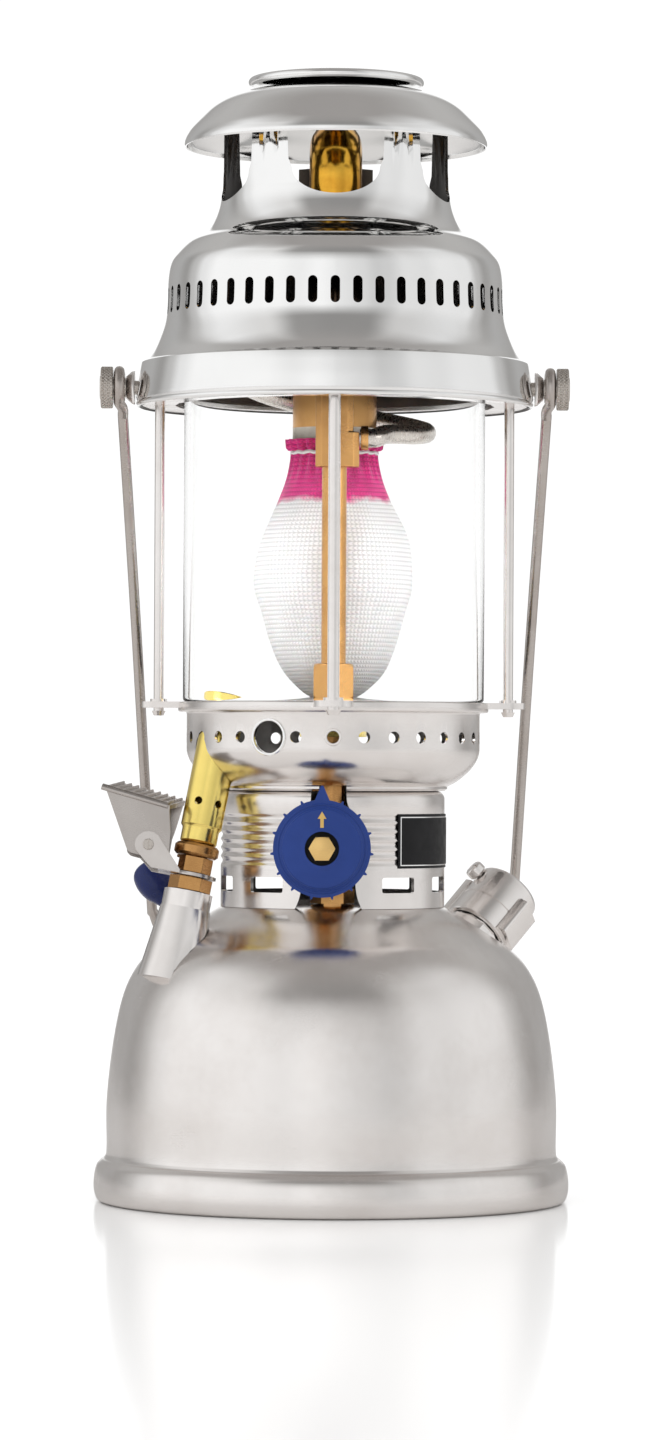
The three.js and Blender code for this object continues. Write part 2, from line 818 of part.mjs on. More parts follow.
const jetRadius = 3.6;
const jetBore = 0.8;
const cupRadius = 11.8;
const cupDepth = 12.5;
const cupBottom = flangeTop - cupDepth;
const cupDrop = 1;
const cupTop = flangeTop - cupDrop;
const cupWall = 0.8;
const mixRadius = 9.3;
const mixWall = 0.9;
const mouthRise = 12;
const mixMouth = headHeight + mouthRise;
const mixLean = 4.3;
const mixBend = (burnerOffset - mixLean) / 2;
const archRise = 50;
const mixBendHeight = mixMouth + archRise;
const mixFootRise = 13;
const mixFoot = frameTop + mixFootRise;
const mixSteps = 8;
const archSteps = 16;
const chamberRadius = 15;
const socketDepth = 4;
const chamberTop = mixFoot + socketDepth;
const chamberDrop = 10;
const chamberBottom = frameTop - chamberDrop;
const chamberBore = 8;
const nozzleRadius = 12.2;
const nozzleRim = 15;
const nozzleLength = 13;
const nozzleBottom = chamberBottom - nozzleLength;
const nozzleRimDepth = 4;
const nozzleStep = chamberBottom - nozzleRimDepth;
const nozzleBore = 8;

function jet() {
  const top = headHeight + jetHeight;
  return onBurnerLine(turnedRing([
    [needleBore, headHeight], [jetRadius, headHeight], [jetRadius, top - jetRadius], [needleBore, top],
    [jetBore, top],
    [jetBore, top - jetRadius], [needleBore, top - jetRadius - needleBore],
  ], rodSides));
}

function preheatCup() {
  const sleeve = stemRadius + seatGap;
  return onBurnerLine(turnedRing([
    [sleeve, cupBottom], [cupRadius, cupBottom], [cupRadius, cupTop], [cupRadius - cupWall, cupTop],
    [cupRadius - cupWall, cupBottom + cupWall], [sleeve + cupWall, cupBottom + cupWall],
    [sleeve + cupWall, cupTop - 2 * cupWall], [sleeve, cupTop - 2 * cupWall],
  ], barSides));
}

// The arch as a round bar; its bore is the same arch, thinner and run past both ends.
function mixArch(radius, sides, extra) {
  const front = -2 * mixBend;
  const mouth = new THREE.Vector3(0, -burnerOffset, mixMouth);
  const knee = new THREE.Vector3(0, (front - burnerOffset) / 2, (mixMouth + mixBendHeight) / 2);
  const down = mouth.clone().sub(knee).normalize().multiplyScalar(extra);
  const points = [mouth.add(down), knee];
  for (let i = 0; i <= mixSteps; i += 1) {
    const angle = halfTurn * i / mixSteps;
    points.push(new THREE.Vector3(
      0,
      -mixBend - mixBend * Math.cos(angle),
      mixBendHeight + mixBend * Math.sin(angle),
    ));
  }
  points.push(new THREE.Vector3(0, 0, (mixFoot + mixBendHeight) / 2));
  points.push(new THREE.Vector3(0, 0, mixFoot - extra));
  return swept(new THREE.CatmullRomCurve3(points), radius, sides, archSteps);
}

function mixingTube() {
  return cut(mixArch(mixRadius, rodSides, 0), mixArch(mixRadius - mixWall, wireSides, overrun));
}

function mixingChamber() {
  const socket = boreFor(mixRadius, barSides);
  return turnedRing([
    [chamberBore, chamberBottom], [chamberRadius, chamberBottom], [chamberRadius, mixFoot],
    [socket + mixWall, chamberTop + mixWall], [socket, chamberTop + mixWall], [socket, mixFoot - seatGap],
    [chamberBore, mixFoot - seatGap],
  ], barSides);
}

function nozzle() {
  return turnedRing([
    [nozzleBore, nozzleBottom], [nozzleRadius, nozzleBottom], [nozzleRadius, nozzleStep],
    [nozzleRim, nozzleStep], [nozzleRim, chamberBottom], [nozzleBore, chamberBottom],
  ], barSides);
}

// Mantle: a knitted bag gathered by its string round the nozzle, with a frill above the string

const mantleRise = 1;
const mantleBottom = flangeTop + mantleRise;
const mantleGap = 0.5;
const mantleTop = nozzleStep - mantleGap;
const mantleRoom = 0.75;
const mantleWidest = burnerOffset - vaporTube - mantleRoom;
const mantleDepthShare = 0.96;
const mantleNeck = 14.6;
const mantleWall = 1.1;
const mantlePleats = 7;
const mantlePleat = 0.45;
const mantleTie = 4.4;
const mantleShares = [
  [0.13, 0], [0.42, 0.048], [0.69, 0.145], [0.89, 0.327], [1, 0.46], [0.93, 0.62], [0.7, 0.777],
  [0.56, 0.88],
];
const innerMantleShares = [[0.4, 0.06], [0.85, 0.3], [0.94, 0.46], [0.62, 0.79]];

function mantle() {
  const rows = [];
  const body = shaped(mantleShares, 0, mantleWidest, mantleBottom, mantleTop);
  rows.push(...body.map(([radius, height]) => [radius, height, radius < mantleNeck ? 1 : 0]));
  const tie = nozzleStep - mantleTie;
  rows.push([mantleNeck, tie, 0], [mantleNeck + mantleWall, (tie + mantleTop) / 2, 1]);
  rows.push([mantleNeck + 2 * mantleWall, mantleTop, 1], [mantleNeck - mantleWall, mantleTop, 0]);
  rows.push([mantleNeck - mantleWall, tie, 0]);
  const hollow = shaped(innerMantleShares, 0, mantleWidest, mantleBottom, mantleTop);
  rows.push(...hollow.reverse().map(([radius, height]) => [radius, height, 0]));
  const around = 3 * mantlePleats;
  const positions = [0, 0, mantleBottom - mantleWall];
  for (const [radius, height, pleated] of rows) {
    for (let i = 0; i < around; i += 1) {
      const angle = fullTurn * i / around;
      const reach = radius + pleated * mantlePleat * (i % 3 === 0 ? 1 : -0.5);
      positions.push(reach * Math.cos(angle), reach * Math.sin(angle) * mantleDepthShare, height);
    }
  }
  positions.push(0, 0, mantleBottom + 2 * mantleWall);
  const index = [];
  for (let i = 0; i < around; i += 1) {
    const next = (i + 1) % around;
    index.push(0, 1 + next, 1 + i);
    for (let row = 1; row < rows.length; row += 1) {
      const low = 1 + (row - 1) * around;
      const high = low + around;
      index.push(low + i, low + next, high + next, low + i, high + next, high + i);
    }
    const last = 1 + (rows.length - 1) * around;
    index.push(last + i, last + next, 1 + rows.length * around);
  }
  const geometry = new THREE.BufferGeometry();
  geometry.setAttribute('position', new THREE.Float32BufferAttribute(positions, 3));
  geometry.setIndex(index);
  return geometry;
}

// Inner casing: it stands on the frame ring, steps over the glass and narrows to a short chimney

const casingInset = 1;
const casingFlange = ringOuter - casingInset;
const casingRoom = 2;
const casingStep = glassRadius + casingRoom;
const shelfInset = 4;
const casingShelf = glassRadius - shelfInset;
const shelfRise = 2.5;
const casingShelfTop = glassTop + shelfRise;
const casingWall = 0.8;
const casingRadius = 18.5;
const coneRise = 50;
const casingConeTop = frameTop + coneRise;
const casingNeck = 32;
const casingTop = casingConeTop + casingNeck;
const tongueDepth = 5;
const tongueCount = 6;

function innerCasing() {
  const inner = casingRadius - casingWall;
  const shell = turnedRing([
    [casingFlange, frameTop], [casingFlange, frameTop + casingWall],
    [casingStep + casingWall, frameTop + casingWall],
    [casingStep + casingWall, casingShelfTop], [casingShelf, casingShelfTop], [casingRadius, casingConeTop],
    [casingRadius, casingTop], [inner, casingTop], [inner, casingConeTop - casingWall],
    [casingShelf - casingWall, casingShelfTop - casingWall], [casingStep, casingShelfTop - casingWall],
    [casingStep, frameTop],
  ], bandSides);
  const tools = [];
  for (let i = 0; i < tongueCount; i += 1) {
    const gap = block(
      [casingRadius / 2, casingRadius, 2 * tongueDepth],
      [0, -casingRadius, casingTop],
    );
    tools.push(turnedBy(gap, i * fullTurn / tongueCount));
  }
  for (let i = 0; i < 4; i += 1) {
    const room = disc(rivetRadius + seatGap, frameTop - overrun, frameTop + overrun, rodSides);
    tools.push(turnedBy(moved(room, 0, -rodCircle, 0), i * quarterTurn));
  }
  const earIn = earOut - earDepth - seatGap;
  const earRoom = casingFlange + overrun;
  for (const side of [-1, 1]) {
    tools.push(block(
      [earRoom - earIn, earWidth + 2 * seatGap, overrun],
      [side * (earIn + earRoom) / 2, 0, frameTop + casingWall / 2],
    ));
  }
  const arch = mixArch(mixRadius + runningGap, rodSides, overrun);
  return cut(shell, ...tools, arch);
}

// Hood: a spun barrel with slots, a shoulder and five posts that carry the dome and its rolled disc

const hoodWall = 0.9;
const hoodShares = [
  [1, 0], [0.942, 0.192], [0.883, 0.21], [0.727, 0.31], [0.66, 0.38], [0.63, 0.59], [0.529, 0.7],
  [0.39, 0.755], [0.159, 0.812], [0, 1],
];
const innerHoodShares = [[0.1, 0.81], [0.39, 0.742], [0.61, 0.6], [0.72, 0.3], [0.942, 0.18], [1, 0]];
const slotCount = 48;
const slotWide = 3.5;
const slotTall = 9.2;
const slotRise = 37.5;
const slotMiddle = hoodBase + slotRise;
const windowCount = 5;
const windowSpan = 45 * degree;
const sillDrop = 5.2;
const windowSill = neckHeight - sillDrop;
const springRise = 4.3;
const windowSpring = neckHeight + springRise;
const windowArcSteps = 5;
const postBand = 4;
const domeWall = 0.8;
const capShares = [[1, 0], [0.985, 0.177], [0.893, 0.474], [0.742, 0.789], [0.56, 0.953]];
const topDiscRadius = 31.5;
const topDiscHeight = 3.8;
const topDiscShares = [[0.9, 0], [0.98, 0.2], [1, 0.6], [0.94, 1], [0.88, 0.6], [0.84, 0.27]];

function hoodDomeOutline(inset) {
  return shaped(capShares, 0, brimRadius - inset, brimHeight, brimHeight + domeRise - inset);
}

const postTop = heightAt(hoodDomeOutline(domeWall), hoodNeck) - seatGap;

function windowOutline() {
  const half = hoodNeck * Math.sin(windowSpan / 2);
  const top = postTop - postBand;
  const points = [[half, top], [-half, top]];
  for (let i = 0; i <= windowArcSteps; i += 1) {
    const angle = halfTurn * i / windowArcSteps;
    points.push([-half * Math.cos(angle), windowSpring - (windowSpring - windowSill) * Math.sin(angle)]);
  }
  return points;
}

function hoodBody() {
  const inner = shaped(innerHoodShares, hoodNeck - hoodWall, hoodRim - hoodWall, hoodBase, neckHeight);
  const shell = turnedRing([
    ...shaped(hoodShares, hoodNeck, hoodRim, hoodBase, neckHeight), [hoodNeck, postTop],
    [hoodNeck - hoodWall, postTop], [hoodNeck - hoodWall, neckHeight], ...inner,
  ], slotCount / 2, halfTurn / slotCount);
  const tools = [];
  const slotDepth = hoodRim - hoodNeck;
  const slot = block([slotWide, slotDepth, slotTall], [0, -hoodNeck - slotDepth / 2, slotMiddle]);
  for (let i = 0; i < slotCount; i += 1) {
    tools.push(turnedBy(slot, fullTurn * i / slotCount));
  }
  const opening = frontPrism(windowOutline(), -hoodNeck - 2 * overrun, -hoodNeck / 2);
  for (let i = 0; i < windowCount; i += 1) {
    tools.push(turnedBy(opening, fullTurn * i / windowCount));
  }
  const reach = screwRadius + seatGap;
  const arch = polygon(rodSides, reach).filter(([, height]) => height > -weldDistance);
  const notch = sidePrism([
    ...arch.map(([depth, height]) => [depth, pivotHeight + height]),
    [-reach, hoodBase - overrun], [reach, hoodBase - overrun],
  ], hoodNeck, hoodRim + overrun);
  tools.push(notch, turnedBy(notch, halfTurn));
  return cut(shell, ...tools);
}

function hoodDome() {
  return turned([
    [0, brimHeight + domeRise - domeWall], ...hoodDomeOutline(domeWall).reverse(),
    ...hoodDomeOutline(0), [0, brimHeight + domeRise],
  ], bandSides);
}

function hoodTopDisc() {
  const bottom = brimHeight + domeRise + seatGap;
  const profile = shaped(topDiscShares, 0, topDiscRadius, bottom, bottom + topDiscHeight);
  const plate = profile[profile.length - 1][1];
  return turned([[0, bottom], ...profile, [0, plate]], bandSides);
}

// Bail: a wire handle on two knurled screws; it hangs back and leans on the tank

const wireRadius = 1.9;
const bailOut = 5.9;
const bailWidth = hoodRim + bailOut;
const bailTaper = 10;
const bailFootWidth = bailWidth - bailTaper;
const bailLength = 228;
const bailCorner = 34;
const eyeRadius = 5.9;
const cornerSteps = 5;
const bailSteps = 24;
const eyeSteps = 10;
const screwRadius = 2.5;
const screwHeadRadius = 7.5;
const screwHeadDepth = 4.3;
const screwIn = 4;
const screwInnerEnd = earOut - screwIn;
const washerOuter = 6.1;
const washerInner = hoodRim + seatGap;
const washerLength = 3.1;
const washerOut = washerInner + washerLength;
const washerTaper = 0.2;
const washerEdge = 1;
const washerCrown = 1.2;
const knurlCount = 14;
const knurlDepth = 0.35;
const headGap = 0.4;

// The lean at which the grip's wire comes to its seat on the tank, found by halving.
function bailLean() {
  let low = 0;
  let high = quarterTurn;
  for (let i = 0; i < 40; i += 1) {
    const middle = (low + high) / 2;
    const depth = bailLength * Math.sin(middle);
    const height = pivotHeight - bailLength * Math.cos(middle);
    const reach = wireRadius + seatGap;
    const clear = depth > tankRadius + reach || height > heightAt(domeProfile(reach), depth);
    if (clear && depth > collarRadius) {
      high = middle;
    } else {
      low = middle;
    }
  }
  return high;
}

function bailHandle() {
  const slope = (bailWidth - bailFootWidth) / (bailLength - bailCorner);
  const legEnd = bailLength - bailCorner;
  const half = [
    new THREE.Vector3(bailWidth, 0, -eyeRadius),
    new THREE.Vector3(bailWidth - slope * legEnd / 2, 0, -legEnd / 2),
    new THREE.Vector3(bailFootWidth, 0, -legEnd),
  ];
  for (let i = 1; i < cornerSteps; i += 1) {
    const angle = quarterTurn * i / cornerSteps;
    half.push(new THREE.Vector3(
      bailFootWidth - bailCorner * (1 - Math.cos(angle)),
      0,
      -legEnd - bailCorner * Math.sin(angle),
    ));
  }
  half.push(new THREE.Vector3(bailFootWidth - bailCorner, 0, -bailLength));
  const other = half.map((point) => new THREE.Vector3(-point.x, 0, point.z)).reverse();
  const path = new THREE.CatmullRomCurve3([...half, ...other]);
  const eyes = [1, -1].map((side) => {
    const eye = new THREE.TorusGeometry(eyeRadius, wireRadius, wireSides, eyeSteps);
    eye.rotateY(quarterTurn);
    eye.translate(side * bailWidth, 0, 0);
    return eye;
  });
  return join(swept(path, wireRadius, wireSides, bailSteps), ...eyes);
}

// The right-hand screw, with X as its axis; the left one is the same turned round.
function bailScrew() {
  const neckRadius = eyeRadius - wireRadius - headGap;
  const headStart = bailWidth + wireRadius + headGap;
  const shaft = turned([
    [0, screwInnerEnd], [screwRadius, screwInnerEnd], [screwRadius, washerOut + headGap / 2],
    [neckRadius, washerOut + headGap / 2], [neckRadius, headStart + headGap], [0, headStart + headGap],
  ], rodSides);
  const knurl = [];
  for (let i = 0; i < 2 * knurlCount; i += 1) {
    const angle = halfTurn * i / knurlCount;
    const reach = screwHeadRadius - (i % 2) * knurlDepth;
    knurl.push([reach * Math.cos(angle), reach * Math.sin(angle)]);
  }
  const head = prism(knurl, headStart, headStart + screwHeadDepth);
  const crown = disc(screwHeadRadius / 2, headStart, headStart + screwHeadDepth + headGap, rodSides);
  const screw = join(shaft, head, crown);
  screw.rotateY(quarterTurn);
  screw.translate(0, 0, pivotHeight);
  return screw;
}

function bailWasher() {
  const bore = screwRadius + seatGap;
  const washer = turnedRing([
    [bore, washerInner], [washerOuter, washerInner], [washerOuter - washerTaper, washerInner + washerEdge],
    [bore + washerCrown, washerOut], [bore, washerOut],
  ], barSides);
  washer.rotateY(quarterTurn);
  washer.translate(0, 0, pivotHeight);
  return washer;
}

// Preheating torch: it stands on a well beside the collar and leans in through the bowl's wall

const torchInset = 2.1;
const torchBack = 5.5;
const torchLeft = torchInset - bowlRadius;
const torchFront = torchBack - burnerOffset;
const torchRise = 5.5;
const torchBase = new THREE.Vector3(torchLeft, torchFront, tankHeight + torchRise);
const torchAlong = new THREE.Vector3(0.184, 0.102, 0.978);
const wellRadius = 12.2;
const wellNeck = 8.9;
const wellRing = 8.6;
const wellDeep = 34;
const wellRingBottom = -8;
const wellTop = -2;
const shankRadius = 3.9;
const shankBottom = -13;
const torchBore = 2.6;
const torchHexFlats = 13.25;
const torchHexTop = 3;
const bracketWall = 1.2;
const torchNutFlats = 11.3;
const torchNutTop = 10.4;
const roundNutRadius = 7.9;
const roundNutDepth = 4.3;
const roundNutEdge = 0.9;
const flameCollarRadius = 6.55;
const flameCollarDepth = 5.6;
const flameRadius = 7.3;
const flameWall = 0.7;
const flameTop = 69.5;
const flameLip = 7.9;
const ventCount = 6;
const ventRadius = 1.4;
const ventHeight = 29.6;
const ventStart = 38.3 * degree;
const pinX = -16.9;
const pinZ = 11;
const pinRadius = 1.2;
const pinHeadRadius = 2;
const armRadius = 4.8;
const armInner = 9.1;
const cheekOuter = 8.7;
const cheekWall = 1;
const plungerRadius = 1;
const plungerNeck = 0.9;
const plungerCollar = 2.3;
const plungerCollarHeight = 6.4;
const plungerCollarDepth = 0.8;
const plungerBottom = -9;
const plungerTop = 19;
const tongueWidth = 2.4;
const tongueWall = 0.8;
const tongueReach = -2.2;
const lifterSlot = 3.2;
const lifterTop = 9.4;
const torchTubeTop = 20;
const neckEnd = 21;

const torch = tiltedGroup(torchBase, torchAlong);
const bracketBottom = torchHexTop + seatGap;
const bracketTop = bracketBottom + bracketWall;
const torchNutBottom = bracketTop + seatGap;
const roundNutBottom = torchNutTop + seatGap;
const flameBottom = roundNutBottom + roundNutDepth + seatGap;
const sleeveBore = shankRadius + seatGap;

function torchWell() {
  const well = turned([
    [0, -wellDeep], [wellRadius, -wellDeep], [wellNeck, wellRingBottom], [wellRing, wellRingBottom],
    [wellRing, wellTop], [sleeveBore, wellTop], [sleeveBore, shankBottom - seatGap],
    [0, shankBottom - seatGap],
  ], barSides);
  return cut(well, inGroup(tankLump(seatGap), torch));
}

function lifterRoom() {
  const left = -roundNutRadius - overrun;
  return block(
    [-left, lifterSlot, lifterTop - bracketTop],
    [left / 2, 0, (lifterTop + bracketTop) / 2],
  );
}

function torchBody() {
  const hex = prism(hexagon(torchHexFlats), wellTop + seatGap, torchHexTop);
  const neck = disc(shankRadius, shankBottom, neckEnd, barSides);
  const bore = disc(torchBore, plungerBottom - seatGap, torchTubeTop, rodSides);
  const jetHole = disc(plungerRadius + seatGap, torchTubeTop - seatGap, neckEnd + overrun, wireSides);
  return cut(join(hex, neck), bore, jetHole, lifterRoom(), inGroup(tankLump(seatGap), torch));
}

// Points round the pin from one angle to another.
function pinArc(radius, from, to, steps) {
  const points = [];
  for (let i = 0; i <= steps; i += 1) {
    const angle = from + (to - from) * i / steps;
    points.push([pinX + radius * Math.cos(angle), pinZ + radius * Math.sin(angle)]);
  }
  return points;
}

function acrossPin(radius, reach, sides) {
  const bore = disc(radius, -reach, reach, sides);
  return moved(facingFront(bore), pinX, 0, pinZ);
}

function torchBracket() {
  const plate = disc(wellRing, bracketBottom, bracketTop, barSides);
  const wide = armInner + bracketWall;
  const strip = prism([
    [pinX + armRadius, -wide], [-wellRing / 2, -wellRing], [-wellRing / 2, wellRing],
    [pinX + armRadius, wide],
  ], bracketBottom, bracketTop);
  const arm = [
    [-wellRing / 2, bracketBottom], [-wellRing / 2, bracketTop],
    ...pinArc(armRadius, 30 * degree, 215 * degree, 8), [pinX + armRadius / 2, bracketBottom],
  ];
  const arms = [frontPrism(arm, -wide, -armInner), frontPrism(arm, armInner, wide)];
  const trimmed = arms.map((side) => cut(side, disc(armInner - seatGap, bracketTop, torchNutTop, barSides)));
  const bore = disc(sleeveBore, bracketBottom - overrun, bracketTop + overrun, barSides);
  return cut(join(plate, strip, ...trimmed), bore, acrossPin(pinRadius + seatGap, wide + overrun, rodSides));
}

function torchHexNut() {
  const nut = prism(hexagon(torchNutFlats), torchNutBottom, torchNutTop);
  const bore = disc(sleeveBore, torchNutBottom - overrun, torchNutTop + overrun, barSides);
  return cut(nut, bore, lifterRoom());
}

function torchRoundNut() {
  const top = roundNutBottom + roundNutDepth;
  return turnedRing([
    [sleeveBore, roundNutBottom], [roundNutRadius - roundNutEdge, roundNutBottom],
    [roundNutRadius, roundNutBottom + roundNutEdge], [roundNutRadius, top - roundNutEdge],
    [roundNutRadius - roundNutEdge, top], [sleeveBore, top],
  ], barSides);
}

function flameTube() {
  const step = flameBottom + flameCollarDepth;
  const inner = flameRadius - flameWall;
  const tube = turnedRing([
    [sleeveBore, flameBottom], [flameCollarRadius, flameBottom], [flameCollarRadius, step],
    [flameRadius, step + flameWall], [flameRadius, flameTop - flameLip], [flameLip, flameTop],
    [flameLip - flameWall, flameTop], [inner, flameTop - flameLip], [inner, step + 2 * flameWall],
    [sleeveBore, step],
  ], barSides);
  const vents = [];
  for (let i = 0; i < ventCount; i += 1) {
    const drill = disc(ventRadius, inner - flameWall, flameLip, wireSides);
    const vent = moved(facingFront(drill), 0, 0, ventHeight);
    vents.push(turnedBy(vent, ventStart + i * fullTurn / ventCount));
  }
  return cut(tube, ...vents);
}

const thumbLeft = -36.9;
const thumbRight = -12.4;
const thumbLeftHeight = 28.1;
const thumbRightHeight = 24.1;
const thumbWall = 2;
const thumbRibs = 8;
const thumbRibHeight = 0.8;
const ribPeakShare = 0.3;
const ribEndShare = 0.6;
const cheekDrop = 3.6;
const cheekShares = [[0.1, 0.97], [0.98, 0.8], [1.12, 0.1], [0.72, 0.02], [0.54, 0.03]];
const webLeft = -11.6;
const webWall = 1.2;
const webTop = 14;

function torchLever() {
  const bottom = bracketTop + seatGap * 2;
  const cheek = shaped(cheekShares, thumbLeft, thumbRight, pinZ - cheekDrop, thumbLeftHeight);
  const cheeks = [
    frontPrism(cheek, -cheekOuter, cheekWall - cheekOuter),
    frontPrism(cheek, cheekOuter - cheekWall, cheekOuter),
  ];
  const slope = (thumbRightHeight - thumbLeftHeight) / (thumbRight - thumbLeft);
  const top = [
    [thumbLeft, thumbLeftHeight - thumbWall],
    [thumbLeft - thumbWall / 2, thumbLeftHeight - thumbWall / 2],
  ];
  const pitch = (thumbRight - thumbLeft) / thumbRibs;
  for (let i = 0; i < thumbRibs; i += 1) {
    for (const share of [0, ribPeakShare, ribEndShare]) {
      const along = thumbLeft + (i + share) * pitch;
      const rib = share === ribPeakShare ? thumbRibHeight : 0;
      top.push([along, thumbLeftHeight + slope * (along - thumbLeft) + rib]);
    }
  }
  top.push([thumbRight, thumbRightHeight], [thumbRight, thumbRightHeight - thumbWall]);
  const plate = frontPrism(top, -cheekOuter, cheekOuter);
  const web = block(
    [webWall, 2 * cheekOuter - cheekWall, webTop - bottom],
    [webLeft + webWall / 2, 0, (webTop + bottom) / 2],
  );
  const tongueTop = plungerCollarHeight - seatGap;
  const tongue = block(
    [tongueReach - webLeft, tongueWidth, tongueWall],
    [(tongueReach + webLeft) / 2, 0, tongueTop - tongueWall / 2],
  );
  const whole = join(plate, ...cheeks, web, tongue);
  return cut(whole, acrossPin(pinRadius + seatGap, armInner + overrun, rodSides));
}

function leverPin() {
  const out = armInner + bracketWall + seatGap;
  const pin = turned([
    [0, -out - pinRadius], [pinHeadRadius, -out - pinRadius], [pinHeadRadius, -out], [pinRadius, -out],
    [pinRadius, out], [pinHeadRadius, out], [pinHeadRadius, out + pinRadius], [0, out + pinRadius],
  ], rodSides);
  return moved(facingFront(pin), pinX, 0, pinZ);
}

function torchPlunger() {
  const collarTopHeight = plungerCollarHeight + plungerCollarDepth;
  return turned([
    [0, plungerBottom], [plungerRadius, plungerBottom + plungerRadius], [plungerRadius, plungerCollarHeight],
    [plungerCollar, plungerCollarHeight], [plungerCollar, collarTopHeight],
    [plungerNeck, collarTopHeight], [plungerNeck, plungerTop - plungerRadius], [0, plungerTop],
  ], rodSides);
}

// One unbroken coil of round wire; it prints the least gap between its curls.
function coil(radius, wire, bottom, top, curls) {
  const steps = 8;
  const sides = 4;
  const points = [];
  const rise = (top - bottom - 2 * wire) / curls;
  const count = curls * steps;
  for (let i = 0; i <= count; i += 1) {
    const angle = fullTurn * i / steps;
    points.push(new THREE.Vector3(
      radius * Math.cos(angle),
      radius * Math.sin(angle),
      bottom + wire + rise * i / steps,
    ));
  }
  const positions = [];
  const index = [];
  const along = new THREE.Vector3();
  const outward = new THREE.Vector3();
  const across = new THREE.Vector3();
  points.forEach((point, place) => {
    const before = points[Math.max(place - 1, 0)];
    const after = points[Math.min(place + 1, count)];
    along.copy(after).sub(before).normalize();
    outward.set(point.x, point.y, 0).normalize();
    across.copy(along).cross(outward).normalize();
    outward.copy(across).cross(along).normalize();
    for (let side = 0; side < sides; side += 1) {
      const turn = fullTurn * side / sides;
      const corner = point.clone();
      corner.addScaledVector(outward, wire * Math.cos(turn));
      corner.addScaledVector(across, wire * Math.sin(turn));
      positions.push(corner.x, corner.y, corner.z);
    }
  });
  for (let place = 0; place < count; place += 1) {
    for (let side = 0; side < sides; side += 1) {
      const next = (side + 1) % sides;
      const low = place * sides;
      const high = low + sides;
      index.push(low + side, low + next, high + next, low + side, high + next, high + side);
    }
  }
  for (let side = 1; side + 1 < sides; side += 1) {
    index.push(0, side + 1, side);
    index.push(count * sides, count * sides + side, count * sides + side + 1);
  }
  const geometry = new THREE.BufferGeometry();
  geometry.setAttribute('position', new THREE.Float32BufferAttribute(positions, 3));
  geometry.setIndex(index);
  let least = Infinity;
  points.forEach((point, place) => {
    for (let other = place + steps / 2; other <= count; other += 1) {
      least = Math.min(least, point.distanceTo(points[other]) - 2 * wire);
    }
  });
  console.log(`least gap between curls ${least.toFixed(2)} mm`);
  return geometry;
}

const torchSpringRadius = 1.85;
const torchSpringWire = 0.4;
const torchSpringCurls = 4;

function torchSpring() {
  const bottom = plungerCollarHeight + plungerCollarDepth + seatGap;
  return coil(torchSpringRadius, torchSpringWire, bottom, torchTubeTop - seatGap, torchSpringCurls);
}

// Pump: a barrel soldered into the tank, with a leather piston, and a knob that rests on its cap

const pumpPlaceShares = [-518 / 805, 241 / 805];
const pumpDrop = 12.5;
const pumpBase = onTank(pumpPlaceShares, tankHeight - pumpDrop);
const pumpAlong = new THREE.Vector3(-0.558, 0.26, 0.788);
const barrelRadius = 7.5;
const barrelWall = 0.8;
const barrelRest = 15.5;
const barrelBottom = barrelRest - tankHeight;
const barrelTop = 4;
const pumpCapRadius = 8.7;
const pumpCapBottom = 1.5;
const pumpCapTop = 8.2;
const pumpCapChamfer = 1;
const pumpRodRadius = 2.2;
const pistonRest = 12;
const pistonBottom = barrelBottom + pistonRest;
const pistonDepth = 6;
const pistonRadius = 6.3;
const pistonSkirt = 1.3;
const nutRadius = 4;
const nutDepth = 1.8;
const knobBottom = 8.8;
const knobTop = 31;
const knobRadius = 6.7;
const knobShares = [
  [0.39, 0], [0.42, 0.16], [0.7, 0.36], [0.95, 0.53], [1, 0.67], [0.9, 0.83], [0.58, 0.95],
];
const pumpSpringRadius = 3.8;
const pumpSpringWire = 0.5;
const pumpSpringLength = 14;
const pumpSpringCurls = 4;
const checkDepth = 5;
const checkBore = 1.2;

const pump = tiltedGroup(pumpBase, pumpAlong);
const barrelBore = barrelRadius - barrelWall;

function pumpBarrel() {
  return ring(barrelBore, barrelRadius, barrelBottom, barrelTop, barSides);
}

function pumpCap() {
  const sleeve = barrelRadius + seatGap;
  const cap = turnedRing([
    [pumpRodRadius + seatGap, barrelTop + seatGap], [sleeve, barrelTop + seatGap], [sleeve, pumpCapBottom],
    [pumpCapRadius, pumpCapBottom], [pumpCapRadius, pumpCapTop - pumpCapChamfer],
    [pumpCapRadius - pumpCapChamfer, pumpCapTop], [pumpRodRadius + seatGap, pumpCapTop],
  ], barSides);
  return cut(cap, inGroup(tankLump(seatGap), pump));
}

function pumpRod() {
  const under = pistonBottom - seatGap;
  const over = pistonBottom + pistonDepth + seatGap;
  return turned([
    [0, under - nutDepth], [nutRadius, under - nutDepth], [nutRadius, under], [pumpRodRadius, under],
    [pumpRodRadius, over], [nutRadius, over], [nutRadius, over + nutDepth], [pumpRodRadius, over + nutDepth],
    [pumpRodRadius, knobBottom - seatGap], [0, knobBottom - seatGap],
  ], rodSides);
}

function pumpPiston() {
  const bore = pumpRodRadius + seatGap;
  const top = pistonBottom + pistonDepth;
  return turnedRing([
    [bore, pistonBottom + pistonSkirt], [pistonRadius - pistonSkirt, pistonBottom + pistonSkirt],
    [pistonRadius - pistonSkirt / 2, pistonBottom], [pistonRadius, pistonBottom], [pistonRadius, top],
    [bore, top],
  ], barSides);
}

function pumpKnob() {
  const pear = shaped(knobShares, 0, knobRadius, knobBottom, knobTop);
  return turned([[0, knobBottom], ...pear, [0, knobTop]], barSides);
}

function pumpSpring() {
  return coil(pumpSpringRadius, pumpSpringWire, barrelTop - pumpSpringLength, barrelTop, pumpSpringCurls);
}

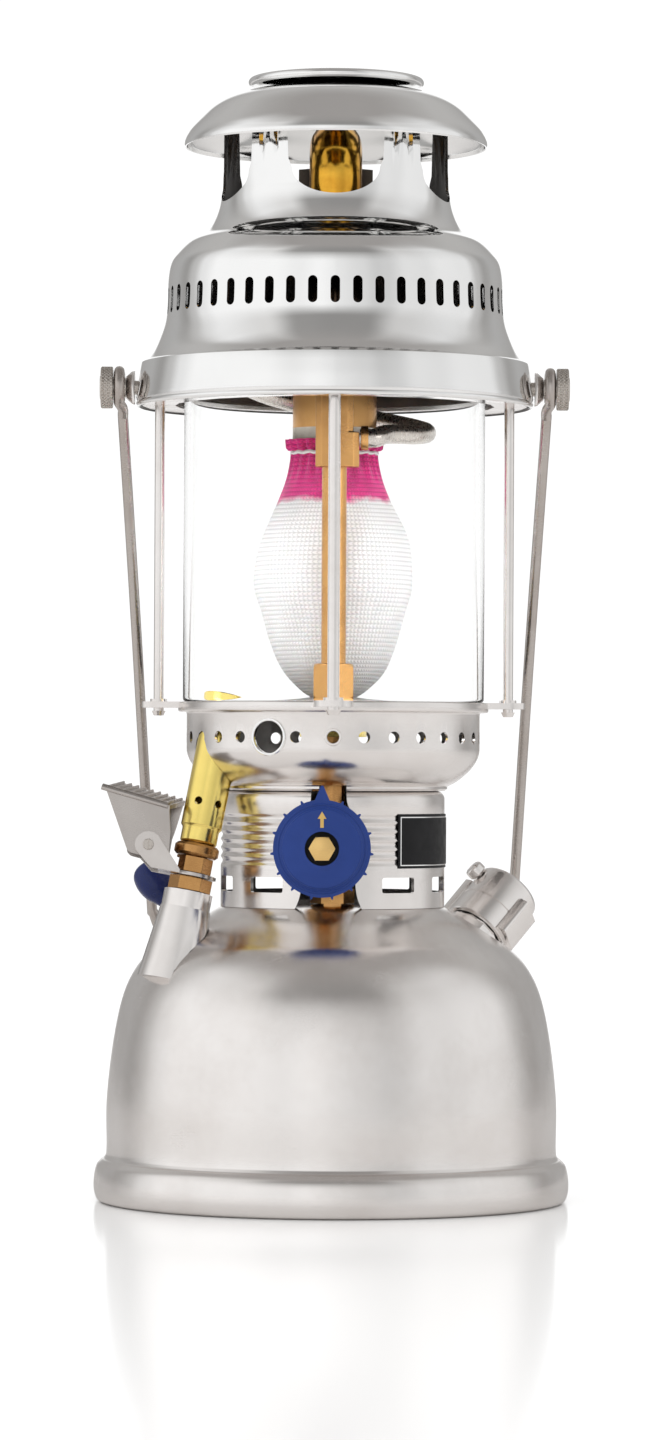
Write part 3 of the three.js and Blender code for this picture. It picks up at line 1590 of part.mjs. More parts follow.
function checkValve() {
  const plug = barrelBore - seatGap;
  return turnedRing([
    [checkBore, barrelBottom - checkDepth], [barrelRadius, barrelBottom - checkDepth],
    [barrelRadius, barrelBottom - seatGap], [plug, barrelBottom - seatGap],
    [plug, barrelBottom + checkDepth],
    [checkBore, barrelBottom + checkDepth],
  ], barSides);
}

// Filler: a neck on the dome, and a cap with two grips, a release screw and a pressure gauge

const fillerPlaceShares = [577 / 805, 450 / 805];
const fillerDrop = 5.8;
const fillerBase = onTank(fillerPlaceShares, tankHeight - fillerDrop);
const fillerAlong = new THREE.Vector3(0.576, 0.45, 0.682);
const neckRadius = 10.2;
const neckWall = 1.4;
const fillerNeckTop = 7.5;
const fillerNeckDeep = 24;
const fillerFlange = 11.6;
const fillerFlangeTop = -10.5;
const capRadius = 12.3;
const capBottom = -9;
const capTop = 13;
const capSkirt = 1.5;
const seamDepth = 0.4;
const gripWidth = 13;
const gripReach = 2.4;
const gripBottom = -8;
const gripTop = 7;
const gripStart = 50 * degree;
const sealDepth = 1.6;
const dialRadius = 8.4;
const dialDepth = 2.4;
const gaugeGlassDepth = 0.8;
const gaugeNeedleDepth = 0.5;
const gaugeNeedleWidth = 0.8;
const gaugeSweep = 210 * degree;
const releaseHeight = 8.6;
const releaseRadius = 2.6;
const releaseShank = 1.3;
const releaseLength = 3.4;
const releaseTurn = -80 * degree;

const filler = tiltedGroup(fillerBase, fillerAlong);
const capPlate = fillerNeckTop + sealDepth + 2 * seatGap;
const gaugePivotRadius = 0.9;

function fillerNeck() {
  const bore = neckRadius - neckWall;
  const neck = turnedRing([
    [bore, -fillerNeckDeep], [neckRadius, -fillerNeckDeep], [neckRadius, fillerNeckTop],
    [bore, fillerNeckTop],
  ], barSides);
  const flange = ring(bore + neckWall / 2, fillerFlange, -fillerNeckDeep, fillerFlangeTop, barSides);
  return cut(join(neck, flange), inGroup(tankLump(seatGap), filler));
}

// A shape made along +Z, laid along the radius at an angle and height of the cap.
function onCapSide(geometry, angle, height) {
  return turnedBy(moved(facingFront(geometry), 0, 0, height), angle);
}

function fillerCap() {
  const sleeve = boreFor(neckRadius, barSides);
  const floor = capTop - dialDepth;
  const shell = turned([
    [0, capPlate], [sleeve, capPlate], [sleeve, capBottom], [capRadius, capBottom], [capRadius, -seamDepth],
    [capRadius - seamDepth, 0], [capRadius, seamDepth], [capRadius, capTop - capSkirt],
    [capRadius - capSkirt, capTop], [dialRadius, capTop], [dialRadius, floor], [0, floor],
  ], barSides);
  const half = gripWidth / 2;
  const grip = prism([
    [-half, -capRadius + capSkirt], [half, -capRadius + capSkirt], [half, -capRadius - gripReach],
    [-half, -capRadius - gripReach],
  ], gripBottom, gripTop);
  const grips = [turnedBy(grip, gripStart), turnedBy(grip, gripStart + halfTurn)];
  const hole = onCapSide(
    disc(releaseShank + seatGap, neckRadius, capRadius + overrun, wireSides), releaseTurn, releaseHeight,
  );
  return cut(join(shell, ...grips), hole);
}

function capSeal() {
  const bottom = fillerNeckTop + seatGap;
  return ring(neckRadius - neckWall, neckRadius, bottom, bottom + sealDepth, barSides);
}

function releaseScrew() {
  const start = capRadius + seatGap;
  const screw = turned([
    [0, neckRadius + 2 * seatGap], [releaseShank, neckRadius + 2 * seatGap], [releaseShank, start],
    [releaseRadius, start], [releaseRadius, start + releaseLength], [0, start + releaseLength],
  ], rodSides);
  return onCapSide(screw, releaseTurn, releaseHeight);
}

function gaugeGlass() {
  return disc(dialRadius - seatGap, capTop - gaugeGlassDepth, capTop, barSides);
}

function gaugeNeedle() {
  const bottom = capTop - dialDepth + seatGap;
  const half = gaugeNeedleWidth / 2;
  const tip = dialRadius - 2 * gaugeNeedleWidth;
  const blade = prism([
    [-2 * gaugePivotRadius, -half], [tip, -half / 2], [tip, half / 2], [-2 * gaugePivotRadius, half],
  ], bottom, bottom + gaugeNeedleDepth);
  const boss = disc(gaugePivotRadius, bottom, bottom + gaugeNeedleDepth + seatGap, wireSides);
  return turnedBy(join(blade, boss), gaugeSweep);
}

// The lantern, piece by piece

const torchRoom = inLantern(disc(flameLip + runningGap, 0, flameTop + overrun, barSides), torch);
const neckHole = inLantern(disc(neckRadius - neckWall, -fillerNeckDeep, 0, barSides), filler);
const pumpRoom = disc(barrelRadius + seatGap, -2 * barrelRadius, 2 * barrelRadius, barSides);
const pumpHole = inLantern(pumpRoom, pump);
const stemHole = onBurnerLine(disc(stemRadius + seatGap, stemBottom, tankHeight + overrun, rodSides));

piece('tank_shell', tankShell([neckHole, pumpHole, stemHole]), nickel);
piece('tank_bottom', tankBottom(), nickel);
piece('collar', collarBody(), nickel);
piece('burner_gallery', galleryBody(torchRoom), chrome);
['front', 'right', 'back', 'left'].forEach((side, place) => {
  const rod = turnedBy(moved(frameRod(), 0, -rodCircle, 0), place * quarterTurn);
  piece(`frame_rod_${side}`, rod, nickel);
});
piece('frame_ring', frameRing(), nickel);
piece('glass_chimney', glassChimney(), clearGlass);

piece('valve_body', valveBody(), nickel);
piece('packing_nut', packingNut(), bronze);
piece('spindle', spindle(), bronze);
piece('control_wheel', controlWheel(), bluePlastic);
piece('wheel_nut', wheelNut(), brass);
piece('needle_rod', needleRod(), brass);
piece('dip_tube', dipTube(), brass);
piece('foot_valve', footValve(), brass);

piece('vaporizer_nut', vaporizerNut(), bronze);
piece('vaporizer_tube', vaporizerTube(), bronze);
piece('vaporizer_head', vaporizerHead(), bronze);
piece('vaporizer_loop', vaporizerLoop(), steel);
piece('jet', jet(), brass);
piece('preheat_cup', preheatCup(), nickel);
piece('mixing_tube', mixingTube(), brass);
piece('mixing_chamber', mixingChamber(), bronze);
piece('nozzle', nozzle(), ceramicWhite);
piece('mantle', mantle(), mantleCloth);
piece('inner_casing', innerCasing(), blackened);

piece('hood_body', hoodBody(), chrome);
piece('hood_dome', hoodDome(), chrome);
piece('hood_top_disc', hoodTopDisc(), chrome);

const bail = new THREE.Group();
bail.position.set(0, 0, pivotHeight);
bail.rotation.x = bailLean();
lantern.add(bail);
piece('bail_handle', bailHandle(), steel, bail);
piece('bail_screw_right', bailScrew(), nickel);
piece('bail_screw_left', turnedBy(bailScrew(), halfTurn), nickel);
piece('bail_washer_right', bailWasher(), nickel);
piece('bail_washer_left', turnedBy(bailWasher(), halfTurn), nickel);

piece('torch_well', torchWell(), nickel, torch);
piece('torch_body', torchBody(), bronze, torch);
piece('torch_bracket', torchBracket(), nickel, torch);
piece('torch_hex_nut', torchHexNut(), bronze, torch);
piece('torch_round_nut', torchRoundNut(), bronze, torch);
piece('flame_tube', flameTube(), brass, torch);
piece('torch_lever', torchLever(), nickel, torch);
piece('lever_pin', leverPin(), nickel, torch);
piece('torch_plunger', torchPlunger(), brass, torch);
piece('torch_spring', torchSpring(), steel, torch);

piece('pump_barrel', pumpBarrel(), brass, pump);
piece('pump_cap', pumpCap(), nickel, pump);
piece('pump_rod', pumpRod(), steel, pump);
piece('pump_piston', pumpPiston(), leatherBrown, pump);
piece('pump_knob', pumpKnob(), navyPlastic, pump);
piece('pump_spring', pumpSpring(), steel, pump);
piece('pump_check_valve', checkValve(), brass, pump);

piece('filler_neck', fillerNeck(), nickel, filler);
piece('filler_cap', fillerCap(), nickel, filler);
piece('cap_seal', capSeal(), sealBlack, filler);
piece('release_screw', releaseScrew(), nickel, filler);
piece('gauge_glass', gaugeGlass(), clearGlass, filler);
piece('gauge_needle', gaugeNeedle(), dialRed, filler);

export default lantern;
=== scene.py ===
import json
import math

import bmesh
import bpy
from mathutils import Matrix, Vector


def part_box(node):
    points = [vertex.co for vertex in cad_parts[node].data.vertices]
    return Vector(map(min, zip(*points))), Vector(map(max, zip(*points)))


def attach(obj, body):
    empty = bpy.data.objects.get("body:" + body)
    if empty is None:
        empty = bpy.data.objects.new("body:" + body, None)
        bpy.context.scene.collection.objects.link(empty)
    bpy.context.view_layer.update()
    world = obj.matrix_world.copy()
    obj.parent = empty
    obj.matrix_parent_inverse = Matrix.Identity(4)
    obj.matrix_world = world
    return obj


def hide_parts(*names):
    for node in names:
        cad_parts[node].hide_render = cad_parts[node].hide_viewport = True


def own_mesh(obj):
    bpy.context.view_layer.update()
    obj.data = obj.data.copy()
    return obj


bl_info = {
    "name": "Pressure lantern",
    "version": (1, 0, 0),
    "blender": (4, 5, 0),
    "location": "View3D > Sidebar > Lantern",
    "description": "Dresses the packed frame of a kerosene pressure lantern, piece by piece",
    "category": "Add Mesh",
}

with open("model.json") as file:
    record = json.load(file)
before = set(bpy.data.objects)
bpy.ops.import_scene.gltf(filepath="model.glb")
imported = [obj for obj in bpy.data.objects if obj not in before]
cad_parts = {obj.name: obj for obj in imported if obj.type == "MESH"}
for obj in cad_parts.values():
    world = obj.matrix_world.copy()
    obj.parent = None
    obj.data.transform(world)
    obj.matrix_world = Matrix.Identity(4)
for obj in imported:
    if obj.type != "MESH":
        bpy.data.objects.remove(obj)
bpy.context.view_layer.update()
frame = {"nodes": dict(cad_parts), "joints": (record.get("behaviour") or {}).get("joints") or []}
NODES = frame["nodes"]
JOINTS = {joint["name"]: joint for joint in frame["joints"]}

# All shapes are built in millimetres and brought to metres by lay.
MM = 0.001
FULL = 2 * math.pi
HALF = math.pi
QUARTER = math.pi / 2
ROUND_STEPS = 96
SMALL_STEPS = 48
MERGE = 0.0005
CREASE = math.radians(32)

# How a packed round piece is read back as an outline
SECTION_SLIP = math.radians(0.02)
AXIS_SLACK = 0.05
STRAIGHT = 0.01


def top_of(node):
    """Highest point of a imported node, in millimetres."""
    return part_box(node)[1].z / MM


def bottom_of(node):
    """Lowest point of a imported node, in millimetres."""
    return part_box(node)[0].z / MM


def reach_of(node):
    """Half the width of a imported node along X, in millimetres."""
    low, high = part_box(node)
    return (high.x - low.x) / 2 / MM


def joint_place(name):
    """A joint's point, in millimetres."""
    return Vector(JOINTS[name]["pos_m"]) / MM


def standing(origin, along):
    """A frame at origin whose Z axis points along a direction and whose Y axis is as near +Y as it can be."""
    up = Vector(along).normalized()
    side = Vector((0, 1, 0)).cross(up).normalized()
    depth = up.cross(side)
    turn = Matrix((side, depth, up)).transposed().to_4x4()
    return Matrix.Translation(Vector(origin)) @ turn


# The burner stands a little in front of the tank's axis; the spindle lies along -Y.
TUBE_LOW, TUBE_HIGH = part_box("vaporizer_tube")
BURNER_LINE = (TUBE_LOW + TUBE_HIGH) / 2 / MM
BURNER = Matrix.Translation((BURNER_LINE.x, BURNER_LINE.y, 0))
UPRIGHT = Matrix.Identity(4)
WHEEL_PLACE = joint_place("wheel_turn")
SPINDLE = Matrix.Translation((WHEEL_PLACE.x, 0, WHEEL_PLACE.z)) @ Matrix.Rotation(QUARTER, 4, "X")
TORCH_BASE = (-50.4, -28, 113)
TORCH = standing(TORCH_BASE, JOINTS["plunger_slide"]["axis"])
PUMP_BASE = (-51.8, 24.1, 95)
PUMP = standing(PUMP_BASE, JOINTS["pump_slide"]["axis"])
FILLER = standing(joint_place("cap_turn"), JOINTS["cap_turn"]["axis"])
PIVOT = joint_place("bail_swing")


# Shapes

def across_axis(turn, height):
    """A place at a height on the axis, its Z axis level and turned round from the front."""
    upright = Matrix.Rotation(turn, 4, "Z") @ Matrix.Translation((0, 0, height))
    return upright @ Matrix.Rotation(QUARTER, 4, "X")


def joined(*shapes):
    """Several bmeshes as one; the others are freed."""
    whole = bmesh.new()
    for shape in shapes:
        held = bpy.data.meshes.new("held")
        shape.to_mesh(held)
        shape.free()
        whole.from_mesh(held)
        bpy.data.meshes.remove(held)
    return whole


def copied(shape, matrix):
    """A bmesh again at another place; the first one stays."""
    twin = shape.copy()
    bmesh.ops.transform(twin, matrix=matrix, verts=twin.verts)
    return twin


def placed(shape, matrix):
    """The same bmesh, moved."""
    bmesh.ops.transform(shape, matrix=matrix, verts=shape.verts)
    return shape


def around(shape, count, axis="Z", first=0.0):
    """Copies of a shape at equal steps round an axis."""
    copies = [copied(shape, Matrix.Rotation(first + FULL * i / count, 4, axis)) for i in range(count)]
    shape.free()
    return joined(*copies)


def flowing(points, steps=6):
    """A smooth line through points of two or three numbers."""
    spots = [Vector(point) for point in points]
    spots = [2 * spots[0] - spots[1], *spots, 2 * spots[-1] - spots[-2]]
    line = []
    for a, b, c, d in zip(spots, spots[1:], spots[2:], spots[3:]):
        for i in range(steps):
            t = i / steps
            bend = 2 * a - 5 * b + 4 * c - d
            twist = 3 * b - a - 3 * c + d
            line.append(0.5 * (2 * b + (c - a) * t + bend * t ** 2 + twist * t ** 3))
    return [*line, spots[-2]]


def arc(centre, radius, start, end, steps=8):
    """Points round a centre from one angle to another."""
    return [
        (centre[0] + radius * math.cos(start + (end - start) * i / steps),
         centre[1] + radius * math.sin(start + (end - start) * i / steps))
        for i in range(steps + 1)
    ]


def rounded(points, radius, steps=3):
    """A closed outline with its corners turned to arcs."""
    result = []
    for i, point in enumerate(points):
        here = Vector(point)
        before = (Vector(points[i - 1]) - here)
        after = (Vector(points[(i + 1) % len(points)]) - here)
        reach = min(radius, 0.45 * before.length, 0.45 * after.length)
        start = here + before.normalized() * reach
        end = here + after.normalized() * reach
        for k in range(steps + 1):
            t = k / steps
            result.append(tuple((1 - t) ** 2 * start + 2 * t * (1 - t) * here + t ** 2 * end))
    return result


def spun(profile, steps=ROUND_STEPS, start=0.0):
    """A profile of (radius, height) points turned about Z, closed on itself or with both ends on the axis."""
    shape = bmesh.new()
    verts = [shape.verts.new((point[0], 0, point[1])) for point in profile]
    for a, b in zip(verts, verts[1:]):
        shape.edges.new((a, b))
    if profile[0][0] > MERGE or profile[-1][0] > MERGE:
        shape.edges.new((verts[-1], verts[0]))
    bmesh.ops.rotate(shape, matrix=Matrix.Rotation(start, 3, "Z"), verts=shape.verts)
    bmesh.ops.spin(
        shape, geom=[*shape.verts, *shape.edges], cent=(0, 0, 0), axis=(0, 0, 1), angle=FULL,
        steps=steps, use_merge=True, use_duplicate=False,
    )
    bmesh.ops.remove_doubles(shape, verts=shape.verts, dist=MERGE)
    bmesh.ops.recalc_face_normals(shape, faces=shape.faces)
    return shape


def raised(points, bottom, top):
    """A flat outline in X and Y, raised from bottom to top."""
    shape = bmesh.new()
    face = shape.faces.new([shape.verts.new((point[0], point[1], bottom)) for point in points])
    lifted = bmesh.ops.extrude_face_region(shape, geom=[face])
    corners = [part for part in lifted["geom"] if isinstance(part, bmesh.types.BMVert)]
    bmesh.ops.translate(shape, vec=(0, 0, top - bottom), verts=corners)
    bmesh.ops.recalc_face_normals(shape, faces=shape.faces)
    return shape


def faced(points, front, back):
    """A flat outline in X and Z, from the front value of Y to the back one."""
    return placed(raised(points, -back, -front), Matrix.Rotation(QUARTER, 4, "X"))


def boxed(size, centre):
    """A box of three sizes round a centre."""
    shape = bmesh.new()
    place = Matrix.Translation(Vector(centre)) @ Matrix.Diagonal((*size, 1))
    bmesh.ops.create_cube(shape, size=1, matrix=place)
    return shape


def rod(radius, bottom, top, steps=SMALL_STEPS):
    """A plain round bar along Z."""
    shape = bmesh.new()
    bmesh.ops.create_cone(
        shape, cap_ends=True, segments=steps, radius1=radius, radius2=radius, depth=top - bottom,
        matrix=Matrix.Translation((0, 0, (top + bottom) / 2)),
    )
    return shape


def hexagon(across_flats, start=0.0):
    """A hexagon's corners."""
    return arc((0, 0), across_flats / math.sqrt(3), start, start + FULL, 6)[:-1]


def piped(points, radius, sides=16, closed=False, wall=0.0):
    """A round wire along a line of points, or a pipe with open ends where it has a wall."""
    line = bpy.data.curves.new("line", "CURVE")
    line.dimensions = "3D"
    line.bevel_depth = radius
    line.bevel_resolution = max(sides // 4 - 1, 0)
    line.use_fill_caps = not (closed or wall)
    spline = line.splines.new("POLY")
    spline.points.add(len(points) - 1)
    for spot, point in zip(spline.points, points):
        spot.co = (*point, 1)
    spline.use_cyclic_u = closed
    holder = bpy.data.objects.new("line", line)
    bpy.context.scene.collection.objects.link(holder)
    mesh = bpy.data.meshes.new_from_object(holder.evaluated_get(bpy.context.evaluated_depsgraph_get()))
    shape = bmesh.new()
    shape.from_mesh(mesh)
    bpy.data.objects.remove(holder)
    bpy.data.curves.remove(line)
    bpy.data.meshes.remove(mesh)
    bmesh.ops.remove_doubles(shape, verts=shape.verts, dist=MERGE)
    bmesh.ops.recalc_face_normals(shape, faces=shape.faces)
    if wall:
        bmesh.ops.solidify(shape, geom=list(shape.faces), thickness=wall)
        bmesh.ops.recalc_face_normals(shape, faces=shape.faces)
    return shape


def holder_of(shape, name):
    """A bmesh as a linked object in millimetres, for a modifier to work on."""
    mesh = bpy.data.meshes.new(name)
    shape.to_mesh(mesh)
    shape.free()
    holder = bpy.data.objects.new(name, mesh)
    bpy.context.scene.collection.objects.link(holder)
    return holder


def carved(shape, tool, operation="DIFFERENCE"):
    """A shape with a tool cut out of it; tools are freed."""
    body = holder_of(shape, "body")
    cutter = holder_of(tool, "cutter")
    step = body.modifiers.new("cut", "BOOLEAN")
    step.operation = operation
    step.solver = "EXACT"
    step.object = cutter
    mesh = bpy.data.meshes.new_from_object(body.evaluated_get(bpy.context.evaluated_depsgraph_get()))
    result = bmesh.new()
    result.from_mesh(mesh)
    for holder in (body, cutter):
        held = holder.data
        bpy.data.objects.remove(holder)
        bpy.data.meshes.remove(held)
    bpy.data.meshes.remove(mesh)
    if not result.faces:
        raise RuntimeError("a cut left nothing of its shape")
    return result


def section_line(node, place, turn=0.0):
    """The outline of a packed round piece, as (radius, height) points on one side of its axis."""
    shape = bmesh.new()
    shape.from_mesh(NODES[node].data)
    bmesh.ops.transform(shape, matrix=Matrix.Scale(1 / MM, 4), verts=shape.verts)
    upright = Matrix.Rotation(-turn, 4, "Z") @ place.inverted()
    bmesh.ops.transform(shape, matrix=upright, verts=shape.verts)
    bmesh.ops.remove_doubles(shape, verts=shape.verts, dist=2 * MERGE)
    bmesh.ops.rotate(shape, matrix=Matrix.Rotation(SECTION_SLIP, 3, "Z"), verts=shape.verts)
    found = bmesh.ops.bisect_plane(
        shape, geom=[*shape.verts, *shape.edges, *shape.faces], dist=MERGE,
        plane_co=(0, 0, 0), plane_no=(1, 0, 0), clear_inner=True, clear_outer=True,
    )
    edges = [part for part in found["geom_cut"] if isinstance(part, bmesh.types.BMEdge)]
    links = {}
    for edge in edges:
        ends = []
        for vert in edge.verts:
            ends.append((round(vert.co.y, 3), round(vert.co.z, 3)))
        if min(ends[0][0], ends[1][0]) > -AXIS_SLACK and ends[0] != ends[1]:
            for a, b in (ends, ends[::-1]):
                links.setdefault(a, []).append(b)
    shape.free()
    ends = [spot for spot, others in links.items() if len(others) == 1]
    here = ends[0] if ends else max(links)
    walked = [here]
    while True:
        onward = [spot for spot in links[here] if spot not in walked]
        if not onward:
            break
        here = onward[0]
        walked.append(here)
    straight = [walked[0]]
    for before, spot, after in zip(walked, walked[1:], walked[2:]):
        a = Vector(spot) - Vector(before)
        b = Vector(after) - Vector(spot)
        if abs(a.x * b.y - a.y * b.x) > STRAIGHT * a.length * b.length:
            straight.append(spot)
    straight.append(walked[-1])
    return [(0.0 if abs(radius) < AXIS_SLACK else radius, height) for radius, height in straight]


def lay(name, shape, look, body, place=UPRIGHT, replaces=(), bevel=0.0, segments=2, crease=CREASE):
    """Turns a bmesh in millimetres into a finished piece that rides on a body of the frame."""
    bmesh.ops.transform(shape, matrix=Matrix.Scale(MM, 4) @ place, verts=shape.verts)
    mesh = bpy.data.meshes.new(name)
    shape.to_mesh(mesh)
    shape.free()
    mesh.shade_smooth()
    mesh.set_sharp_from_angle(angle=crease)
    piece = bpy.data.objects.new(name, mesh)
    bpy.context.scene.collection.objects.link(piece)
    mesh.materials.append(look)
    if bevel:
        edge = piece.modifiers.new("edge", "BEVEL")
        edge.width = bevel * MM
        edge.segments = segments
        edge.limit_method = "ANGLE"
        edge.angle_limit = CREASE
        edge.harden_normals = True
    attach(piece, body)
    if replaces:
        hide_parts(*replaces)
    return piece


def turned_again(node, look, body, place=UPRIGHT, bevel=0.15, steps=SMALL_STEPS, turn=0.0):
    """A packed round piece, read as an outline and spun with fine steps."""
    return lay(
        f"{node}_finished", spun(section_line(node, place, turn), steps), look, body, place,
        replaces=[node], bevel=bevel,
    )


def copied_node(node):
    """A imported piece's own mesh in millimetres, its flat faces made whole again."""
    shape = bmesh.new()
    shape.from_mesh(NODES[node].data)
    bmesh.ops.transform(shape, matrix=Matrix.Scale(1 / MM, 4), verts=shape.verts)
    bmesh.ops.remove_doubles(shape, verts=shape.verts, dist=MERGE)
    bmesh.ops.dissolve_limit(
        shape, angle_limit=math.radians(0.4), verts=shape.verts, edges=shape.edges,
        use_dissolve_boundaries=False,
    )
    return shape


def eased(node, look, body, bevel=0.2):
    """A packed flat-sided piece with its edges softened."""
    return lay(f"{node}_finished", copied_node(node), look, body, replaces=[node], bevel=bevel)


# Materials: patterns follow Object coordinates, which are metres in the lantern's own frame.

# Where the amber brass begins over its painted shade and the mantle's dyed top begins, and the mantle's rows
# and columns of loops
AMBER_HEIGHT = 345
MANTLE_DYE = 250
KNIT_ROWS = 66
KNIT_COLUMNS = 98
# Near-black painted shade for metal faces that look toward the axis, and the roughness it gives them
INNER_SHADE = (0.045, 0.042, 0.04)
INNER_SHADE_ROUGHNESS = 0.42

class Weave:
    """A material's node tree with short ways to add to it."""

    def __init__(self, name):
        self.look = bpy.data.materials.new(name)
        self.look.use_nodes = True
        self.nodes = self.look.node_tree.nodes
        self.links = self.look.node_tree.links
        self.shader = self.nodes["Principled BSDF"]
        self.place = self.nodes.new("ShaderNodeTexCoord").outputs["Object"]
        self.relief = None

    def set(self, **values):
        """Constant values of the shader's own sockets."""
        for key, value in values.items():
            self.shader.inputs[key.replace("_", " ")].default_value = value

    def link(self, output, socket):
        self.links.new(output, self.shader.inputs[socket])

    def mapped(self, scale, source=None, turn=(0, 0, 0)):
        node = self.nodes.new("ShaderNodeMapping")
        node.inputs["Scale"].default_value = scale
        node.inputs["Rotation"].default_value = turn
        self.links.new(source or self.place, node.inputs["Vector"])
        return node.outputs["Vector"]

    def noise(self, scale, detail=3.0, source=None, rough=0.5, distort=0.0):
        node = self.nodes.new("ShaderNodeTexNoise")
        node.inputs["Scale"].default_value = scale
        node.inputs["Detail"].default_value = detail
        node.inputs["Roughness"].default_value = rough
        node.inputs["Distortion"].default_value = distort
        self.links.new(source or self.place, node.inputs["Vector"])
        return node.outputs["Fac"]

    def ramp(self, source, low, high, start=0.0, end=1.0):
        """A number taken from one stretch to another, held at both ends."""
        node = self.nodes.new("ShaderNodeMapRange")
        node.inputs["From Min"].default_value = low
        node.inputs["From Max"].default_value = high
        node.inputs["To Min"].default_value = start
        node.inputs["To Max"].default_value = end
        self.links.new(source, node.inputs["Value"])
        return node.outputs["Result"]

    def maths(self, operation, first, second):
        node = self.nodes.new("ShaderNodeMath")
        node.operation = operation
        for socket, value in zip(node.inputs, (first, second)):
            if isinstance(value, (int, float)):
                socket.default_value = value
            else:
                self.links.new(value, socket)
        return node.outputs["Value"]

    def blend(self, share, first, second):
        node = self.nodes.new("ShaderNodeMix")
        node.data_type = "RGBA"
        self.links.new(share, node.inputs["Factor"])
        for socket, value in ((node.inputs["A"], first), (node.inputs["B"], second)):
            if isinstance(value, bpy.types.NodeSocket):
                self.links.new(value, socket)
            else:
                socket.default_value = (*value, 1) if len(value) == 3 else value
        return node.outputs["Result"]

    def bump(self, height, strength, distance):
        """Adds relief; distance is in millimetres."""
        node = self.nodes.new("ShaderNodeBump")
        node.inputs["Strength"].default_value = strength
        node.inputs["Distance"].default_value = distance * MM
        self.links.new(height, node.inputs["Height"])
        if self.relief:
            self.links.new(self.relief, node.inputs["Normal"])
        self.relief = node.outputs["Normal"]
        self.link(self.relief, "Normal")


def inward(w):
    """1 on the faces that look toward the lantern's axis and 0 on the others: the mask of the metals' painted
    inner shade.
    """
    flat = w.nodes.new("ShaderNodeVectorMath")
    flat.operation = "MULTIPLY"
    flat.inputs[1].default_value = (1, 1, 0)
    w.links.new(w.place, flat.inputs[0])
    toward = w.nodes.new("ShaderNodeVectorMath")
    toward.operation = "DOT_PRODUCT"
    w.links.new(flat.outputs["Vector"], toward.inputs[0])
    w.links.new(w.nodes.new("ShaderNodeNewGeometry").outputs["Normal"], toward.inputs[1])
    return w.ramp(toward.outputs["Value"], -0.014, -0.006, 1.0, 0.0)


def metal(
    name, colour, roughness, spread=0.06, tarnish=None, tarnish_share=0.35, lines=0.3, along=(1, 1, 40),
    inner_shade=False,
):
    """A plated or bare metal: cloudy roughness, faint lines from the lathe and patches of tarnish, and where
    asked, painted shade on the faces that look toward the axis.
    """
    w = Weave(name)
    w.set(Metallic=1.0)
    clouds = w.noise(55, 4)
    fine = w.noise(900, 2, w.mapped(along))
    rough = w.ramp(clouds, 0.3, 0.7, roughness - spread, roughness + spread)
    rough = w.maths("ADD", rough, w.ramp(fine, 0.45, 0.75, 0.0, spread))
    patches = w.ramp(w.noise(23, 5, rough=0.65), 0.45, 0.75, 0.0, tarnish_share)
    face = w.blend(patches, colour, tarnish or tuple(c * 0.72 for c in colour))
    # Painted shade: faces that look toward the axis turn near-black and rougher, standing in for the shade
    # inside collar, bowl and hood.
    if inner_shade:
        inside = inward(w)
        face = w.blend(inside, face, w.blend(w.ramp(clouds, 0.35, 0.65), INNER_SHADE, tuple(c * 2.2 for c in INNER_SHADE)))
        rough = w.maths("MAXIMUM", rough, w.maths("MULTIPLY", inside, INNER_SHADE_ROUGHNESS))
    w.link(face, "Base Color")
    w.link(rough, "Roughness")
    w.bump(fine, lines, 0.01)
    w.bump(w.noise(160, 2), 0.12, 0.02)
    return w.look


def amber_brass(name, height):
    """Brass browned by the flame: amber above a height, and below it near-black painted shade for the tube's
    shaded lower part.
    """
    w = Weave(name)
    w.set(Metallic=1.0)
    split = w.nodes.new("ShaderNodeSeparateXYZ")
    w.links.new(w.place, split.inputs["Vector"])
    clouds = w.noise(60, 4, rough=0.6)
    level = w.maths("ADD", split.outputs["Z"], w.ramp(clouds, 0.3, 0.7, -0.003, 0.003))
    hot = w.blend(w.ramp(clouds, 0.35, 0.7), (0.95, 0.55, 0.07), (0.62, 0.26, 0.02))
    # Painted shade: below the height the brass is near-black, standing in for shade on the tube's lower part.
    w.link(w.blend(w.ramp(level, height - 0.004, height + 0.004), (0.07, 0.045, 0.03), hot), "Base Color")
    w.link(w.ramp(w.noise(200, 3), 0.3, 0.7, 0.12, 0.24), "Roughness")
    w.bump(w.noise(500, 3), 0.15, 0.03)
    return w.look


def scratched_steel(name, colour, roughness):
    """Drawn steel: long scratches, small pits and a little brown in them."""
    w = Weave(name)
    w.set(Metallic=1.0)
    drawn = w.noise(260, 3, w.mapped((6, 6, 0.6)))
    pits = w.noise(1400, 2)
    w.link(w.ramp(drawn, 0.3, 0.7, roughness - 0.08, roughness + 0.12), "Roughness")
    stain = w.ramp(w.maths("MULTIPLY", pits, drawn), 0.24, 0.42, 0.0, 0.35)
    w.link(w.blend(stain, colour, tuple(c * s for c, s in zip(colour, (0.7, 0.6, 0.5)))), "Base Color")
    w.bump(pits, 0.25, 0.03)
    w.bump(drawn, 0.2, 0.03)
    return w.look


def scaled_sheet(name):
    """Sheet that stands in the heat: dark brown scale with bluish and rusty clouds."""
    w = Weave(name)
    w.set(Metallic=0.8)
    clouds = w.noise(35, 5, rough=0.6)
    first = w.blend(w.ramp(clouds, 0.35, 0.6), (0.055, 0.046, 0.04), (0.13, 0.1, 0.075))
    w.link(w.blend(w.ramp(w.noise(80, 3), 0.55, 0.7, 0.0, 0.5), first, (0.07, 0.08, 0.1)), "Base Color")
    w.link(w.ramp(clouds, 0.3, 0.7, 0.42, 0.7), "Roughness")
    w.bump(w.noise(500, 4), 0.2, 0.06)
    return w.look


